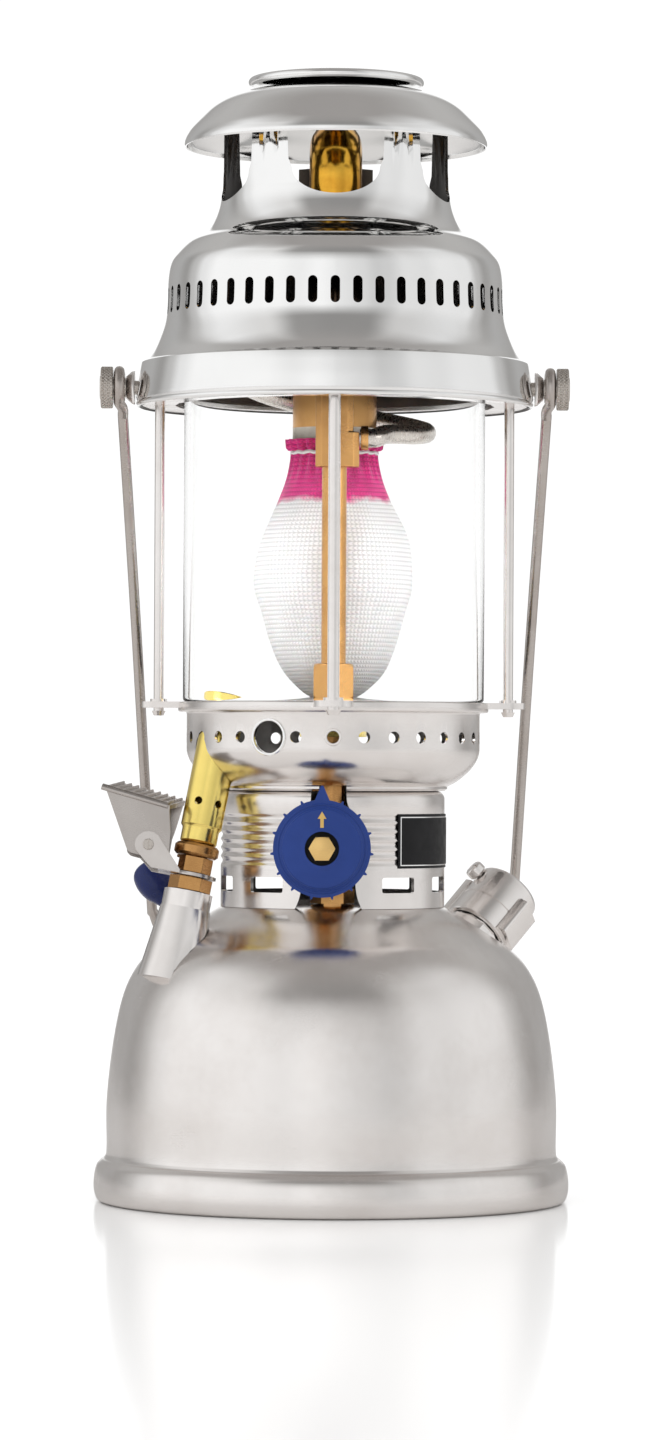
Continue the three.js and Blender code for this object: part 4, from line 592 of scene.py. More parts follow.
def plastic(name, colour, roughness, mottle=0.25, shine=0.5):
    """Moulded plastic with a faint orange-peel surface and lighter rubbed places."""
    w = Weave(name)
    w.set(Metallic=0.0, IOR=1.5, Specular_IOR_Level=shine)
    clouds = w.noise(70, 4)
    lighter = tuple(min(c * 1.7 + 0.006, 1) for c in colour)
    w.link(w.blend(w.ramp(clouds, 0.4, 0.75, 0.0, mottle), colour, lighter), "Base Color")
    w.link(w.ramp(w.noise(240, 3), 0.3, 0.7, roughness - 0.06, roughness + 0.1), "Roughness")
    w.bump(w.noise(1300, 2), 0.12, 0.02)
    return w.look


def clear_glass(name):
    """Clear heat-proof glass with the faintest smears."""
    w = Weave(name)
    w.set(Metallic=0.0, Transmission_Weight=1.0, IOR=1.1)
    w.set(Base_Color=(0.995, 0.998, 0.996, 1))
    smears = w.noise(26, 4, w.mapped((1, 1, 0.35)), rough=0.6)
    w.link(w.ramp(smears, 0.5, 0.75, 0.0, 0.01), "Roughness")
    w.bump(w.noise(14, 1), 0.01, 0.02)
    return w.look


def burner_clay(name):
    """Unglazed burner ceramic, off-white with clouds of soot."""
    w = Weave(name)
    clouds = w.noise(90, 5, rough=0.65)
    w.link(w.blend(w.ramp(clouds, 0.4, 0.7, 0.0, 0.6), (0.78, 0.73, 0.64), (0.5, 0.44, 0.37)), "Base Color")
    w.set(Roughness=0.85)
    w.bump(w.noise(1200, 3), 0.35, 0.06)
    return w.look


def leather(name):
    """Oiled brown leather."""
    w = Weave(name)
    grain = w.nodes.new("ShaderNodeTexVoronoi")
    grain.inputs["Scale"].default_value = 900
    w.links.new(w.place, grain.inputs["Vector"])
    w.link(w.blend(w.ramp(w.noise(120, 4), 0.35, 0.7), (0.1, 0.045, 0.02), (0.2, 0.1, 0.05)), "Base Color")
    w.set(Roughness=0.55)
    w.bump(grain.outputs["Distance"], 0.4, 0.08)
    return w.look


def rubber(name):
    """Matte black rubber with a dusty bloom."""
    w = Weave(name)
    w.link(
        w.blend(w.ramp(w.noise(60, 4), 0.4, 0.7, 0.0, 0.4), (0.015, 0.015, 0.015), (0.06, 0.058, 0.055)),
        "Base Color",
    )
    w.set(Roughness=0.8)
    w.bump(w.noise(900, 3), 0.25, 0.03)
    return w.look


def knitted_mantle(name, pink, white, change):
    """The mantle's fine net: rows of small loops on its own UV map, white below and dyed near its neck, with
    painted shade between the loops.
    """
    w = Weave(name)
    uv = w.nodes.new("ShaderNodeTexCoord").outputs["UV"]
    split = w.nodes.new("ShaderNodeSeparateXYZ")
    w.links.new(uv, split.inputs["Vector"])
    rows = w.maths("SINE", w.maths("MULTIPLY", split.outputs["Y"], FULL * KNIT_ROWS), 0)
    sway = w.maths("ADD", w.maths("MULTIPLY", rows, QUARTER), w.ramp(w.noise(150, 3), 0.25, 0.75, 0.0, 4.0))
    columns = w.maths(
        "SINE", w.maths("ADD", w.maths("MULTIPLY", split.outputs["X"], FULL * KNIT_COLUMNS), sway), 0,
    )
    loops = w.maths("MULTIPLY", w.ramp(rows, -1, 1), w.ramp(columns, -1, 1))
    wander = w.noise(42, 5, rough=0.7)
    height = w.nodes.new("ShaderNodeSeparateXYZ")
    w.links.new(w.place, height.inputs["Vector"])
    edge = w.maths("ADD", height.outputs["Z"], w.ramp(wander, 0.3, 0.7, -0.0022, 0.0022))
    dyed = w.ramp(edge, change - 0.0012, change + 0.0012)
    shade = w.blend(
        w.ramp(w.noise(110, 4, w.mapped((1, 1, 0.3))), 0.35, 0.7), white, tuple(c * 0.9 for c in white),
    )
    rose = w.blend(w.ramp(w.noise(170, 4), 0.4, 0.7), pink, tuple(c * 0.7 for c in pink))
    thread = w.blend(dyed, shade, rose)
    # Painted shade: between the loops the net turns grey, or dim pink where dyed, standing in for shade in
    # the gaps of the knit.
    deep = w.blend(dyed, (0.62, 0.6, 0.61), tuple(c * 0.5 for c in pink))
    w.link(w.blend(w.ramp(loops, 0.0, 0.3, 0.5, 0.0), thread, deep), "Base Color")
    w.link(w.ramp(loops, 0.02, 0.16, 0.8, 1.0), "Alpha")
    w.set(Roughness=0.9, Sheen_Weight=0.3, Subsurface_Weight=0.12, Subsurface_Scale=0.004)
    w.bump(loops, 0.7, 0.25)
    return w.look


def looks_of(colours):
    """Every material of the lantern by its plain name."""
    def tone(value):
        return tuple(value)[:3]

    nickel = {
        "colour": tone(colours.nickel), "roughness": colours.nickel_polish, "spread": 0.05,
        "tarnish": (0.62, 0.56, 0.52),
    }
    chrome = {
        "colour": tone(colours.chrome), "roughness": colours.chrome_polish, "spread": 0.025,
        "lines": 0.12, "tarnish_share": 0.15,
    }
    made = {
        "nickel": metal("satin nickel", **nickel),
        # These two paint shade on their faces that look toward the axis.
        "nickel inner shade": metal("satin nickel with painted inner shade", **nickel, inner_shade=True),
        "chrome inner shade": metal("polished chrome with painted inner shade", **chrome, inner_shade=True),
        "chrome": metal("polished chrome", **chrome),
        # Painted shade and painted light: one plated sheet, a darker copy for the lever and a lighter copy
        # for the bracket, so that the two part as light would part them.
        "plate with painted shade": metal(
            "worn plate with painted shade", (0.53, 0.495, 0.47), 0.27, tarnish=(0.38, 0.34, 0.31), tarnish_share=0.4,
        ),
        "plate with painted light": metal(
            "worn plate with painted light", (0.68, 0.645, 0.62), 0.25, tarnish=(0.45, 0.4, 0.37), tarnish_share=0.35,
        ),
        "wire": metal("plated wire", (0.55, 0.51, 0.48), 0.26, tarnish=(0.3, 0.24, 0.2), tarnish_share=0.5),
        "amber brass": amber_brass("amber brass", AMBER_HEIGHT * MM),
        "brass": metal(
            "turned brass", tone(colours.brass), 0.2, tarnish=(0.42, 0.22, 0.06), tarnish_share=0.5,
            lines=0.5,
        ),
        "flame brass": metal(
            "heated brass", tone(colours.flame_brass), 0.2, tarnish=(0.6, 0.34, 0.07), tarnish_share=0.22,
        ),
        "bronze": metal("bronze", tone(colours.bronze), 0.27, tarnish=(0.2, 0.08, 0.03), tarnish_share=0.6),
        "steel": scratched_steel("drawn steel", (0.56, 0.52, 0.48), 0.27),
        "casing": scaled_sheet("heat scale"), "glass": clear_glass("chimney glass"),
        "clay": burner_clay("burner clay"),
        "blue": plastic("blue moulding", tone(colours.wheel_blue), 0.34, shine=0.28),
        "navy": plastic("navy moulding", tone(colours.knob_navy), 0.22, shine=0.35),
        "gold": metal("gold print", (0.78, 0.52, 0.18), 0.35, tarnish_share=0.3),
        "black": plastic("black enamel", (0.006, 0.006, 0.007), 0.4, mottle=0.1, shine=0.2),
        "red": plastic("red enamel", (0.42, 0.015, 0.015), 0.4),
        "white": plastic("white enamel", (0.75, 0.75, 0.72), 0.35), "leather": leather("piston leather"),
        "rubber": rubber("seal rubber"),
    }
    made["mantle"] = knitted_mantle(
        "knitted net", tone(colours.mantle_rose), tone(colours.mantle_white), MANTLE_DYE * MM,
    )
    return made


# Sizes and colours that a user would change

def length(name, description, default):
    """A size in metres."""
    return bpy.props.FloatProperty(
        name=name, description=description, default=default, min=0, unit="LENGTH", subtype="DISTANCE",
    )


def colour(name, description, default):
    """A colour without opacity."""
    return bpy.props.FloatVectorProperty(
        name=name, description=description, default=default, size=3, min=0, max=1, subtype="COLOR",
    )


def count(name, description, default):
    """A whole number."""
    return bpy.props.IntProperty(name=name, description=description, default=default, min=1)


class StageSettings(bpy.types.PropertyGroup):
    """Floor, lights and camera."""
    distance: length("Camera distance", "From the camera to the lantern's axis", 1.9)
    eye_height: length("Eye height", "Height of the camera above the floor", 0.1575)
    lens: bpy.props.FloatProperty(
        name="Lens", description="Focal length in millimetres on a 36 mm sensor", default=132.5,
    )
    lean: bpy.props.FloatProperty(
        name="Lean", description="Turn of the camera about its own line of sight", default=math.radians(0.28),
        unit="ROTATION", subtype="ANGLE",
    )
    floor: length("Floor", "Width of the pale floor", 6.0)


class FinishSettings(bpy.types.PropertyGroup):
    """Colours of the metals, mouldings and cloth."""
    nickel: colour("Nickel", "Satin plate of tank, collar and small parts", (0.88, 0.85, 0.83))
    nickel_polish: bpy.props.FloatProperty(
        name="Nickel roughness", description="How dull the satin plate is", default=0.2,
    )
    chrome: colour("Chrome", "Polished plate of hood and burner bowl", (0.93, 0.93, 0.925))
    chrome_polish: bpy.props.FloatProperty(
        name="Chrome roughness", description="How dull the polished plate is", default=0.07,
    )
    brass: colour("Brass", "Turned brass", (0.83, 0.56, 0.22))
    flame_brass: colour("Flame brass", "Brass that the torch has warmed", (1.0, 0.8, 0.24))
    bronze: colour("Bronze", "Heat-tinted nuts and burner parts", (0.66, 0.36, 0.13))
    wheel_blue: colour("Wheel blue", "Moulding of the control wheel", (0.010, 0.032, 0.165))
    knob_navy: colour("Knob navy", "Moulding of the pump knob", (0.006, 0.014, 0.085))
    mantle_rose: colour("Mantle rose", "Dyed top of the mantle", (0.96, 0.05, 0.33))
    mantle_white: colour("Mantle white", "Undyed net of the mantle", (0.97, 0.96, 0.965))


class TankSettings(bpy.types.PropertyGroup):
    """Tank, collar and burner bowl."""
    wall: length("Tank wall", "Thickness of the tank's sheet", 0.0012)
    rib_count: count("Ribs", "Ribs round the collar", 6)
    rib_depth: length("Rib depth", "How far the grooves lie under the ribs", 0.0007)
    hole_count: count("Bowl holes", "Places for holes round the burner bowl", 30)
    hole: length("Bowl hole", "Radius of a hole in the burner bowl", 0.0021)


class HoodSettings(bpy.types.PropertyGroup):
    """Hood and dome."""
    slot_count: count("Slots", "Slots round the barrel", 48)
    slot_width: length("Slot width", "Width of a slot", 0.0033)
    slot_height: length("Slot height", "Height of a slot", 0.0095)
    flute_depth: length("Flute depth", "Depth of the flutes pressed into the posts", 0.0016)


class WheelSettings(bpy.types.PropertyGroup):
    """Control wheel."""
    teeth: count("Teeth", "Teeth round the rim, the pointer among them", 15)
    tooth: length("Tooth height", "How far a tooth stands out", 0.0012)
    pointer: length("Pointer height", "How far the pointer stands out", 0.005)


class BailSettings(bpy.types.PropertyGroup):
    """Wire handle and its screws."""
    wire: length("Wire", "Radius of the handle's wire", 0.0019)
    knurls: count("Knurls", "Knurls round a screw's head", 36)


class MantleSettings(bpy.types.PropertyGroup):
    """Knitted mantle."""
    pleats: count("Pleats", "Pleats where the string gathers the net", 22)
    pleat_depth: length("Pleat depth", "Depth of a pleat at the neck", 0.0012)
    thread: length("String", "Radius of the string", 0.0007)


# Every material, by its plain name; the finishes operator fills it.
LOOKS = {}


class LANTERN_OT_finishes(bpy.types.Operator):
    """Makes every material of the lantern"""
    bl_idname = "lantern.finishes"
    bl_label = "Finishes"

    def execute(self, context):
        LOOKS.update(looks_of(context.scene.lantern_finish))
        return {"FINISHED"}


# The photograph in its own pixels: its size, the lantern's axis at eye height, and the horizon.
PHOTO_SIZE = (650, 1440)
PHOTO_AXIS = 333
PHOTO_HORIZON = 761
SENSOR = 36

# The studio's panels round the lantern: the place in a turn, from the front over the left and the back
# to the front again; then brightness and warmth.
STUDIO_PANELS = (
    (0.0, 0.86, 0.0), (0.03, 0.93, 0.0), (0.07, 0.86, 0.0), (0.12, 0.93, 0.0), (0.25, 0.93, 0.0),
    (0.29, 0.78, 0.0), (0.32, 0.5, 0.01), (0.35, 0.32, 0.02), (0.39, 0.4, 0.01), (0.465, 0.36, 0.02),
    (0.482, 1.0, 0.0), (0.518, 1.0, 0.0), (0.535, 0.36, 0.02), (0.61, 0.4, 0.01), (0.65, 0.34, 0.02),
    (0.68, 0.5, 0.01), (0.71, 0.78, 0.0), (0.78, 0.8, 0.0), (0.82, 0.74, 0.0), (0.86, 0.76, 0.0),
    (0.9, 0.62, 0.0), (0.92, 0.6, 0.0), (0.95, 0.7, 0.0), (1.0, 0.8, 0.0),
)
UPPER_PANELS = (
    (0.0, 0.27, 0.02), (0.08, 0.3, 0.02), (0.15, 0.7, 0.01), (0.25, 0.8, 0.0), (0.34, 0.45, 0.02),
    (0.5, 0.45, 0.02), (0.66, 0.45, 0.02), (0.75, 0.7, 0.0), (0.86, 0.6, 0.01), (0.93, 0.27, 0.02),
    (1.0, 0.27, 0.02),
)
UPPER_FROM = (0.34, 0.62)
ROOF_FROM = (0.72, 0.95)
ROOF_LIGHT = (0.33, 0.315, 0.305)
AIR_STRENGTH = 1.06
FLOOR_TONE = (0.97, 0.97, 0.97)
FLOOR_IN_METAL = (0.6, 0.585, 0.575)

# Each lamp's name, place and size in metres, and its power in watts; all of them look at one point.
LAMPS = (
    ("key", (-1.3, -1.1, 1.3), 1.1, 10), ("fill", (1.5, -0.9, 0.9), 1.0, 7), ("top", (0, 0.1, 1.9), 1.4, 4),
)
LAMP_AIM = (0, 0, 0.2)


def mirrored(nodes, links):
    """One for rays thrown back by a shiny surface, none for rays that pass through the glass."""
    path = nodes.new("ShaderNodeLightPath")
    only = nodes.new("ShaderNodeMath")
    only.operation = "SUBTRACT"
    only.use_clamp = True
    links.new(path.outputs["Is Glossy Ray"], only.inputs[0])
    links.new(path.outputs["Is Transmission Ray"], only.inputs[1])
    return only.outputs["Value"]


def studio_air(scene):
    """White air all round; the polished metal alone sees a ring of softer and darker panels in it."""
    world = bpy.data.worlds.new("studio")
    scene.world = world
    world.use_nodes = True
    nodes, links = world.node_tree.nodes, world.node_tree.links
    air = nodes["Background"]
    place = nodes.new("ShaderNodeTexCoord").outputs["Generated"]
    split = nodes.new("ShaderNodeSeparateXYZ")
    links.new(place, split.inputs["Vector"])
    turn = nodes.new("ShaderNodeMath")
    turn.operation = "ARCTAN2"
    links.new(split.outputs["X"], turn.inputs[0])
    links.new(split.outputs["Y"], turn.inputs[1])
    share = nodes.new("ShaderNodeMapRange")
    share.inputs["From Min"].default_value = -HALF
    share.inputs["From Max"].default_value = HALF
    links.new(turn.outputs["Value"], share.inputs["Value"])
    rings = []
    for row in (STUDIO_PANELS, UPPER_PANELS):
        panels = nodes.new("ShaderNodeValToRGB")
        links.new(share.outputs["Result"], panels.inputs["Fac"])
        bands = panels.color_ramp
        bands.interpolation = "EASE"
        while len(bands.elements) > 1:
            bands.elements.remove(bands.elements[-1])
        for i, (spot, level, warm) in enumerate(row):
            mark = bands.elements[0] if i == 0 else bands.elements.new(spot)
            mark.position = spot
            mark.color = (level, level * (1 - warm), level * (1 - 2 * warm), 1)
        rings.append(panels.outputs["Color"])
    roof = nodes.new("ShaderNodeRGB")
    roof.outputs["Color"].default_value = (*ROOF_LIGHT, 1)
    seen_metal = rings[0]
    for (low, high), above in ((UPPER_FROM, rings[1]), (ROOF_FROM, roof.outputs["Color"])):
        upward = nodes.new("ShaderNodeMapRange")
        upward.inputs["From Min"].default_value = low
        upward.inputs["From Max"].default_value = high
        links.new(split.outputs["Z"], upward.inputs["Value"])
        layer = nodes.new("ShaderNodeMix")
        layer.data_type = "RGBA"
        links.new(upward.outputs["Result"], layer.inputs["Factor"])
        links.new(seen_metal, layer.inputs["A"])
        links.new(above, layer.inputs["B"])
        seen_metal = layer.outputs["Result"]
    seen = nodes.new("ShaderNodeMix")
    seen.data_type = "RGBA"
    links.new(mirrored(nodes, links), seen.inputs["Factor"])
    links.new(seen_metal, seen.inputs["B"])
    seen.inputs["A"].default_value = (1, 1, 1, 1)
    links.new(seen.outputs["Result"], air.inputs["Color"])
    air.inputs["Strength"].default_value = AIR_STRENGTH


class LANTERN_OT_stage(bpy.types.Operator):
    """Pale floor, soft studio light and the camera at the photograph's angle"""
    bl_idname = "lantern.stage"
    bl_label = "Stage"

    def execute(self, context):
        stage = context.scene.lantern_stage
        scene = context.scene
        scene.view_settings.view_transform = "Standard"
        studio_air(scene)
        floor = bmesh.new()
        bmesh.ops.create_grid(floor, x_segments=1, y_segments=1, size=stage.floor / 2)
        mesh = bpy.data.meshes.new("floor")
        floor.to_mesh(mesh)
        floor.free()
        ground = bpy.data.objects.new("floor", mesh)
        scene.collection.objects.link(ground)
        w = Weave("pale floor")
        cloth = w.blend(w.ramp(w.noise(3, 3), 0.3, 0.7), FLOOR_TONE, tuple(c * 0.985 for c in FLOOR_TONE))
        w.link(w.blend(mirrored(w.nodes, w.links), cloth, FLOOR_IN_METAL), "Base Color")
        w.set(Roughness=0.14, IOR=1.3)
        w.bump(w.noise(420, 2), 0.03, 0.02)
        mesh.materials.append(w.look)
        for name, spot, size, power in LAMPS:
            lamp = bpy.data.lights.new(name, "AREA")
            lamp.energy = power
            lamp.size = size
            holder = bpy.data.objects.new(name, lamp)
            holder.location = spot
            holder.visible_glossy = False
            aim = Vector(LAMP_AIM) - Vector(spot)
            holder.rotation_euler = aim.to_track_quat("-Z", "Y").to_euler()
            scene.collection.objects.link(holder)
        lens = bpy.data.cameras.new("camera")
        lens.lens = stage.lens
        lens.sensor_width = SENSOR
        lens.shift_x = -(PHOTO_AXIS - PHOTO_SIZE[0] / 2) / PHOTO_SIZE[1]
        lens.shift_y = (PHOTO_HORIZON - PHOTO_SIZE[1] / 2) / PHOTO_SIZE[1]
        camera = bpy.data.objects.new("camera", lens)
        camera.location = (0, -stage.distance, stage.eye_height)
        view = Matrix.Rotation(QUARTER, 3, "X") @ Matrix.Rotation(stage.lean, 3, "Z")
        camera.rotation_euler = view.to_euler()
        scene.collection.objects.link(camera)
        scene.camera = camera
        return {"FINISHED"}


# Tank, collar and burner bowl

TANK_SIDE = 80.5
TANK_TOP = 107.5
FOOT_SIDE = reach_of("tank_shell")
FOOT_TOP = 15.3
FOOT_LINE = ((0.42, 0), (0.8, 0.07), (1, 0.3), (0.97, 0.6), (0.76, 0.85), (0.4, 0.97), (0.12, 1.04))
DOME_LINE = (
    (1, 0.18), (1, 0.335), (0.974, 0.521), (0.93, 0.68), (0.87, 0.777), (0.79, 0.842), (0.703, 0.885),
    (0.557, 0.954), (0.447, 0.992), (0.25, 1), (0, 1),
)


# Radius, lower end and upper end of the holes for the pump, the filler and the burner
TANK_HOLES = (((7.7, -20, 14), PUMP), ((8.6, -24, 6), FILLER), ((4.6, 98, 112), BURNER))


def tank_outline():
    """The tank's outer outline from the floor up to the axis."""
    foot = [(TANK_SIDE + u * (FOOT_SIDE - TANK_SIDE), v * FOOT_TOP) for u, v in FOOT_LINE]
    dome = [(u * TANK_SIDE, v * TANK_TOP) for u, v in DOME_LINE]
    return [tuple(point) for point in flowing([*foot, *dome], 7)]


def tank_piece(looks, wall):
    """The drawn tank, open below, with holes for the pump, the filler and the burner."""
    outer = tank_outline()
    inner = [(max(r - wall, 0), z - wall) for r, z in outer if r < TANK_SIDE and z > FOOT_TOP * 2]
    rim = TANK_SIDE - wall
    line = [*[(max(r, 0), z) for r, z in outer], *reversed(inner), (rim, FOOT_TOP * 2), (rim, 0)]
    shape = spun(line, 128)
    holes = joined(*[placed(rod(*size), place) for size, place in TANK_HOLES])
    lay(
        "tank_finished", carved(shape, holes), looks["nickel"], "lantern", replaces=["tank_shell"],
    )


COLLAR_SIDE = 40.1
COLLAR_TOP = top_of("collar")
COLLAR_FOOT = bottom_of("collar")
COLLAR_WALL = 0.9
LEDGE = 34
RIB_START = 120.3
RIB_PITCH = 3.1
RIB_SHAPE = 1.6
RIB_POINTS = 8
WINDOW = (14, 5.5)
WINDOW_MIDDLE = 113.75
WINDOW_STEPS = 10
SLOT_CENTRE = -1.4
SLOT_LINE = (
    (-15, 98), (15, 98), (10.2, 109), (9.5, 113), (9.5, 137), (6.4, 142.5), (6, 150), (-6, 150),
    (-6.4, 142.5), (-9.5, 137), (-9.5, 113), (-10.2, 109),
)


def collar_piece(looks, ribs, depth):
    """The ribbed sleeve with its windows and its front slot."""
    outer = [(COLLAR_SIDE, COLLAR_FOOT), (COLLAR_SIDE, RIB_START - 1.2)]
    for i in range(ribs):
        for k in range(RIB_POINTS):
            share = k / RIB_POINTS
            radius = COLLAR_SIDE - depth * math.sin(HALF * share) ** RIB_SHAPE
            outer.append((radius, RIB_START + (i + share) * RIB_PITCH))
    top = RIB_START + ribs * RIB_PITCH
    outer += [(COLLAR_SIDE, top), (COLLAR_SIDE, COLLAR_TOP - 3)]
    outer += arc((COLLAR_SIDE - 3, COLLAR_TOP - 3), 3, 0, QUARTER, 6)[1:]
    inner = COLLAR_SIDE - COLLAR_WALL - depth
    line = [
        *outer, (LEDGE, COLLAR_TOP), (LEDGE, COLLAR_TOP - COLLAR_WALL), (inner - 2, COLLAR_TOP - COLLAR_WALL),
        (inner, COLLAR_TOP - 3), (inner, COLLAR_FOOT),
    ]
    wide, tall = WINDOW[0] / 2, WINDOW[1] / 2
    pane = rounded([(-wide, -tall), (wide, -tall), (wide, tall), (-wide, tall)], 0.9)
    window = placed(raised(pane, 30, 46), Matrix.Rotation(QUARTER, 4, "X"))
    holes = []
    for i in range(1, WINDOW_STEPS):
        spot = Matrix.Rotation(FULL * i / WINDOW_STEPS, 4, "Z") @ Matrix.Translation((0, 0, WINDOW_MIDDLE))
        holes.append(copied(window, spot))
    window.free()
    slot = faced(rounded([(SLOT_CENTRE + x, z) for x, z in SLOT_LINE], 1.6), -46, -30)
    shape = carved(spun(line, 144), joined(*holes, slot))
    # The collar's inner faces carry painted shade.
    lay("collar_finished", shape, looks["nickel inner shade"], "lantern", replaces=["collar"])


PLATE_FROM = math.radians(35)
PLATE_TO = math.radians(92)
PLATE_LOW = 119.7
PLATE_HIGH = 138.8
PLATE_STEPS = 20


def name_plate(looks):
    """A bare black plate with a thin bright border, bent round the collar."""
    for name, look, inset, radius, thick in (
        ("plate_back", looks["black"], 0.0, COLLAR_SIDE + 0.05, 0.35),
        ("plate_border", looks["chrome"], 0.85, COLLAR_SIDE + 0.2, 0.3),
        ("plate_face", looks["black"], 1.25, COLLAR_SIDE + 0.3, 0.3),
    ):
        shape = bmesh.new()
        start = PLATE_FROM - QUARTER + inset / radius
        span = PLATE_TO - PLATE_FROM - 2 * inset / radius
        low = shape.verts.new((radius * math.cos(start), radius * math.sin(start), PLATE_LOW + inset))
        high = shape.verts.new((radius * math.cos(start), radius * math.sin(start), PLATE_HIGH - inset))
        edge = shape.edges.new((low, high))
        bmesh.ops.spin(
            shape, geom=[low, high, edge], cent=(0, 0, 0), axis=(0, 0, 1), angle=span, steps=PLATE_STEPS,
            use_merge=False, use_duplicate=False,
        )
        bmesh.ops.recalc_face_normals(shape, faces=shape.faces)
        if shape.faces[0].normal.xy.dot(shape.faces[0].calc_center_median().xy) < 0:
            bmesh.ops.reverse_faces(shape, faces=shape.faces)
        bmesh.ops.solidify(shape, geom=list(shape.faces), thickness=-thick)
        lay(name, shape, look, "lantern", bevel=0.12)


BOWL_SIDE = 52.5
BOWL_LINE = ((44.5, 150.4), (48.6, 153.9), (51.2, 157.3), (52.4, 160.6))
BOWL_INSIDE = ((50, 157.5), (46.5, 153.6), (43.5, 151.2), (40, 149.6))
FLANGE_SIDE = 55.6
FLANGE_TOP = 178.5
FLANGE_DEPTH = 3.6
HOLE_HEIGHT = 165.8
NO_HOLES = (-2, 0)
LEFT_SHIFT = 0.2
PREHEAT_PLACE = -2.12
PREHEAT_RADIUS = 6.1
EYELET_RADIUS = 2.6
TAB_LINE = ((-7, -51), (-7, -64.5), (-4, -68.6), (4, -68.6), (7, -64.5), (7, -51))
TAB_DEPTH = 2.2
TORCH_ROOM = 7.55
FLAME_LEAN = math.radians(3.8)
FLAME_FOOT = 15.3
LEANING = TORCH @ Matrix.Translation((0, 0, FLAME_FOOT)) @ Matrix.Rotation(-FLAME_LEAN, 4, "X")
FLAME = LEANING @ Matrix.Translation((0, 0, -FLAME_FOOT))


def on_bowl(shape, place, holes):
    """A shape made along +Z at the origin, laid through the bowl's wall some places round from the front."""
    return placed(shape, across_axis(FULL * place / holes, HOLE_HEIGHT))


def gallery_piece(looks, holes, hole):
    """The pierced bowl with its flange and tabs, the eyelet and the lip of the preheating hole."""
    wall = COLLAR_WALL
    outer = [(LEDGE, COLLAR_TOP), (COLLAR_SIDE, COLLAR_TOP), (COLLAR_SIDE + 0.9, COLLAR_TOP + 0.7)]
    outer += [tuple(p) for p in flowing([(COLLAR_SIDE + 0.9, 148.5), *BOWL_LINE, (BOWL_SIDE, 164)], 5)]
    lip = FLANGE_TOP - FLANGE_DEPTH
    outer += [(BOWL_SIDE, lip - 0.8), *arc((BOWL_SIDE + 0.8, lip - 0.8), 0.8, HALF, QUARTER, 3)[1:]]
    outer += [(FLANGE_SIDE - 0.7, lip), *arc((FLANGE_SIDE - 0.7, lip + 0.7), 0.7, -QUARTER, 0, 3)[1:]]
    outer += [*arc((FLANGE_SIDE - 0.7, FLANGE_TOP - 0.7), 0.7, 0, QUARTER, 3)]
    inner = [(BOWL_SIDE - wall, FLANGE_TOP), (BOWL_SIDE - wall, 162), *BOWL_INSIDE, (LEDGE, 149)]
    shape = spun([*outer, *inner], 150)
    tab = raised(rounded(TAB_LINE, 1.6), FLANGE_TOP - TAB_DEPTH, FLANGE_TOP)
    shape = carved(shape, around(tab, 4), "UNION")
    tools = []
    for place in range(holes):
        signed = place - holes if place > holes // 2 else place
        if signed not in NO_HOLES:
            shift = LEFT_SHIFT if -8 < signed < 0 else 0
            tools.append(on_bowl(rod(hole, BOWL_SIDE - 4, BOWL_SIDE + 4, 20), signed - shift, holes))
    tools.append(on_bowl(rod(EYELET_RADIUS, BOWL_SIDE - 4, BOWL_SIDE + 4, 24), 0, holes))
    tools.append(on_bowl(rod(PREHEAT_RADIUS, BOWL_SIDE - 4, BOWL_SIDE + 4, 40), PREHEAT_PLACE, holes))
    tools.append(placed(boxed((9.6, 12, 8), (0, -2.2, COLLAR_TOP)), BURNER))
    shape = carved(shape, joined(*tools))
    shape = carved(shape, placed(rod(TORCH_ROOM, 30, 72, 48), FLAME))
    # The bowl's inner faces carry painted shade.
    lay(
        "burner_bowl_finished", shape, looks["nickel inner shade"], "lantern", replaces=["burner_gallery"],
    )
    for name, place, radius, look in (
        ("eyelet", 0, EYELET_RADIUS, looks["nickel"]),
        ("preheat_hole_lip", PREHEAT_PLACE, PREHEAT_RADIUS, looks["chrome"]),
    ):
        inside, outside, back, front = radius - 0.5, radius + 0.55, BOWL_SIDE - 1.4, BOWL_SIDE + 0.55
        ring = spun(rounded([(inside, back), (outside, back), (outside, front), (inside, front)], 0.4), 40)
        lay(name, on_bowl(ring, place, holes), look, "lantern")


class LANTERN_OT_tank(bpy.types.Operator):
    """Tank, collar with its bare plate, and the pierced burner bowl"""
    bl_idname = "lantern.tank"
    bl_label = "Tank, collar and bowl"

    def execute(self, context):
        sizes = context.scene.lantern_tank
        looks = LOOKS
        tank_piece(looks, sizes.wall / MM)
        turned_again("tank_bottom", looks["nickel"], "lantern", steps=ROUND_STEPS)
        collar_piece(looks, sizes.rib_count, sizes.rib_depth / MM)
        name_plate(looks)
        gallery_piece(looks, sizes.hole_count, sizes.hole / MM)
        return {"FINISHED"}


# Frame rods, frame ring and glass

RODS = ("frame_rod_front", "frame_rod_right", "frame_rod_back", "frame_rod_left")
GLASS_SIDE = 54
GLASS_WALL = 2.4
GLASS_BASE = bottom_of("glass_chimney")
GLASS_TOP = top_of("glass_chimney")


def glass_piece(looks):
    """The chimney: a straight tube with round ends."""
    inner = GLASS_SIDE - GLASS_WALL
    lip = GLASS_WALL / 2
    outline = [
        *arc((inner + lip, GLASS_BASE + lip), lip, -HALF, 0, 8),
        *arc((inner + lip, GLASS_TOP - lip), lip, 0, HALF, 8),
    ]
    pane = lay(
        "glass_finished", spun(outline, 160), looks["glass"], "lantern",
        replaces=["glass_chimney"], crease=HALF / 3,
    )
    pane.visible_shadow = False


class LANTERN_OT_frame(bpy.types.Operator):
    """Upright rods, the ring they carry and the glass chimney"""
    bl_idname = "lantern.frame"
    bl_label = "Frame and glass"

    def execute(self, context):
        for name in RODS:
            low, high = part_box(name)
            middle = (low + high) / 2 / MM
            upright = Matrix.Translation((middle.x, middle.y, 0))
            turned_again(name, LOOKS["nickel"], "lantern", upright, bevel=0, steps=28)
        eased("frame_ring", LOOKS["nickel"], "lantern", bevel=0.3)
        glass_piece(LOOKS)
        return {"FINISHED"}


# Hood, dome and top disc

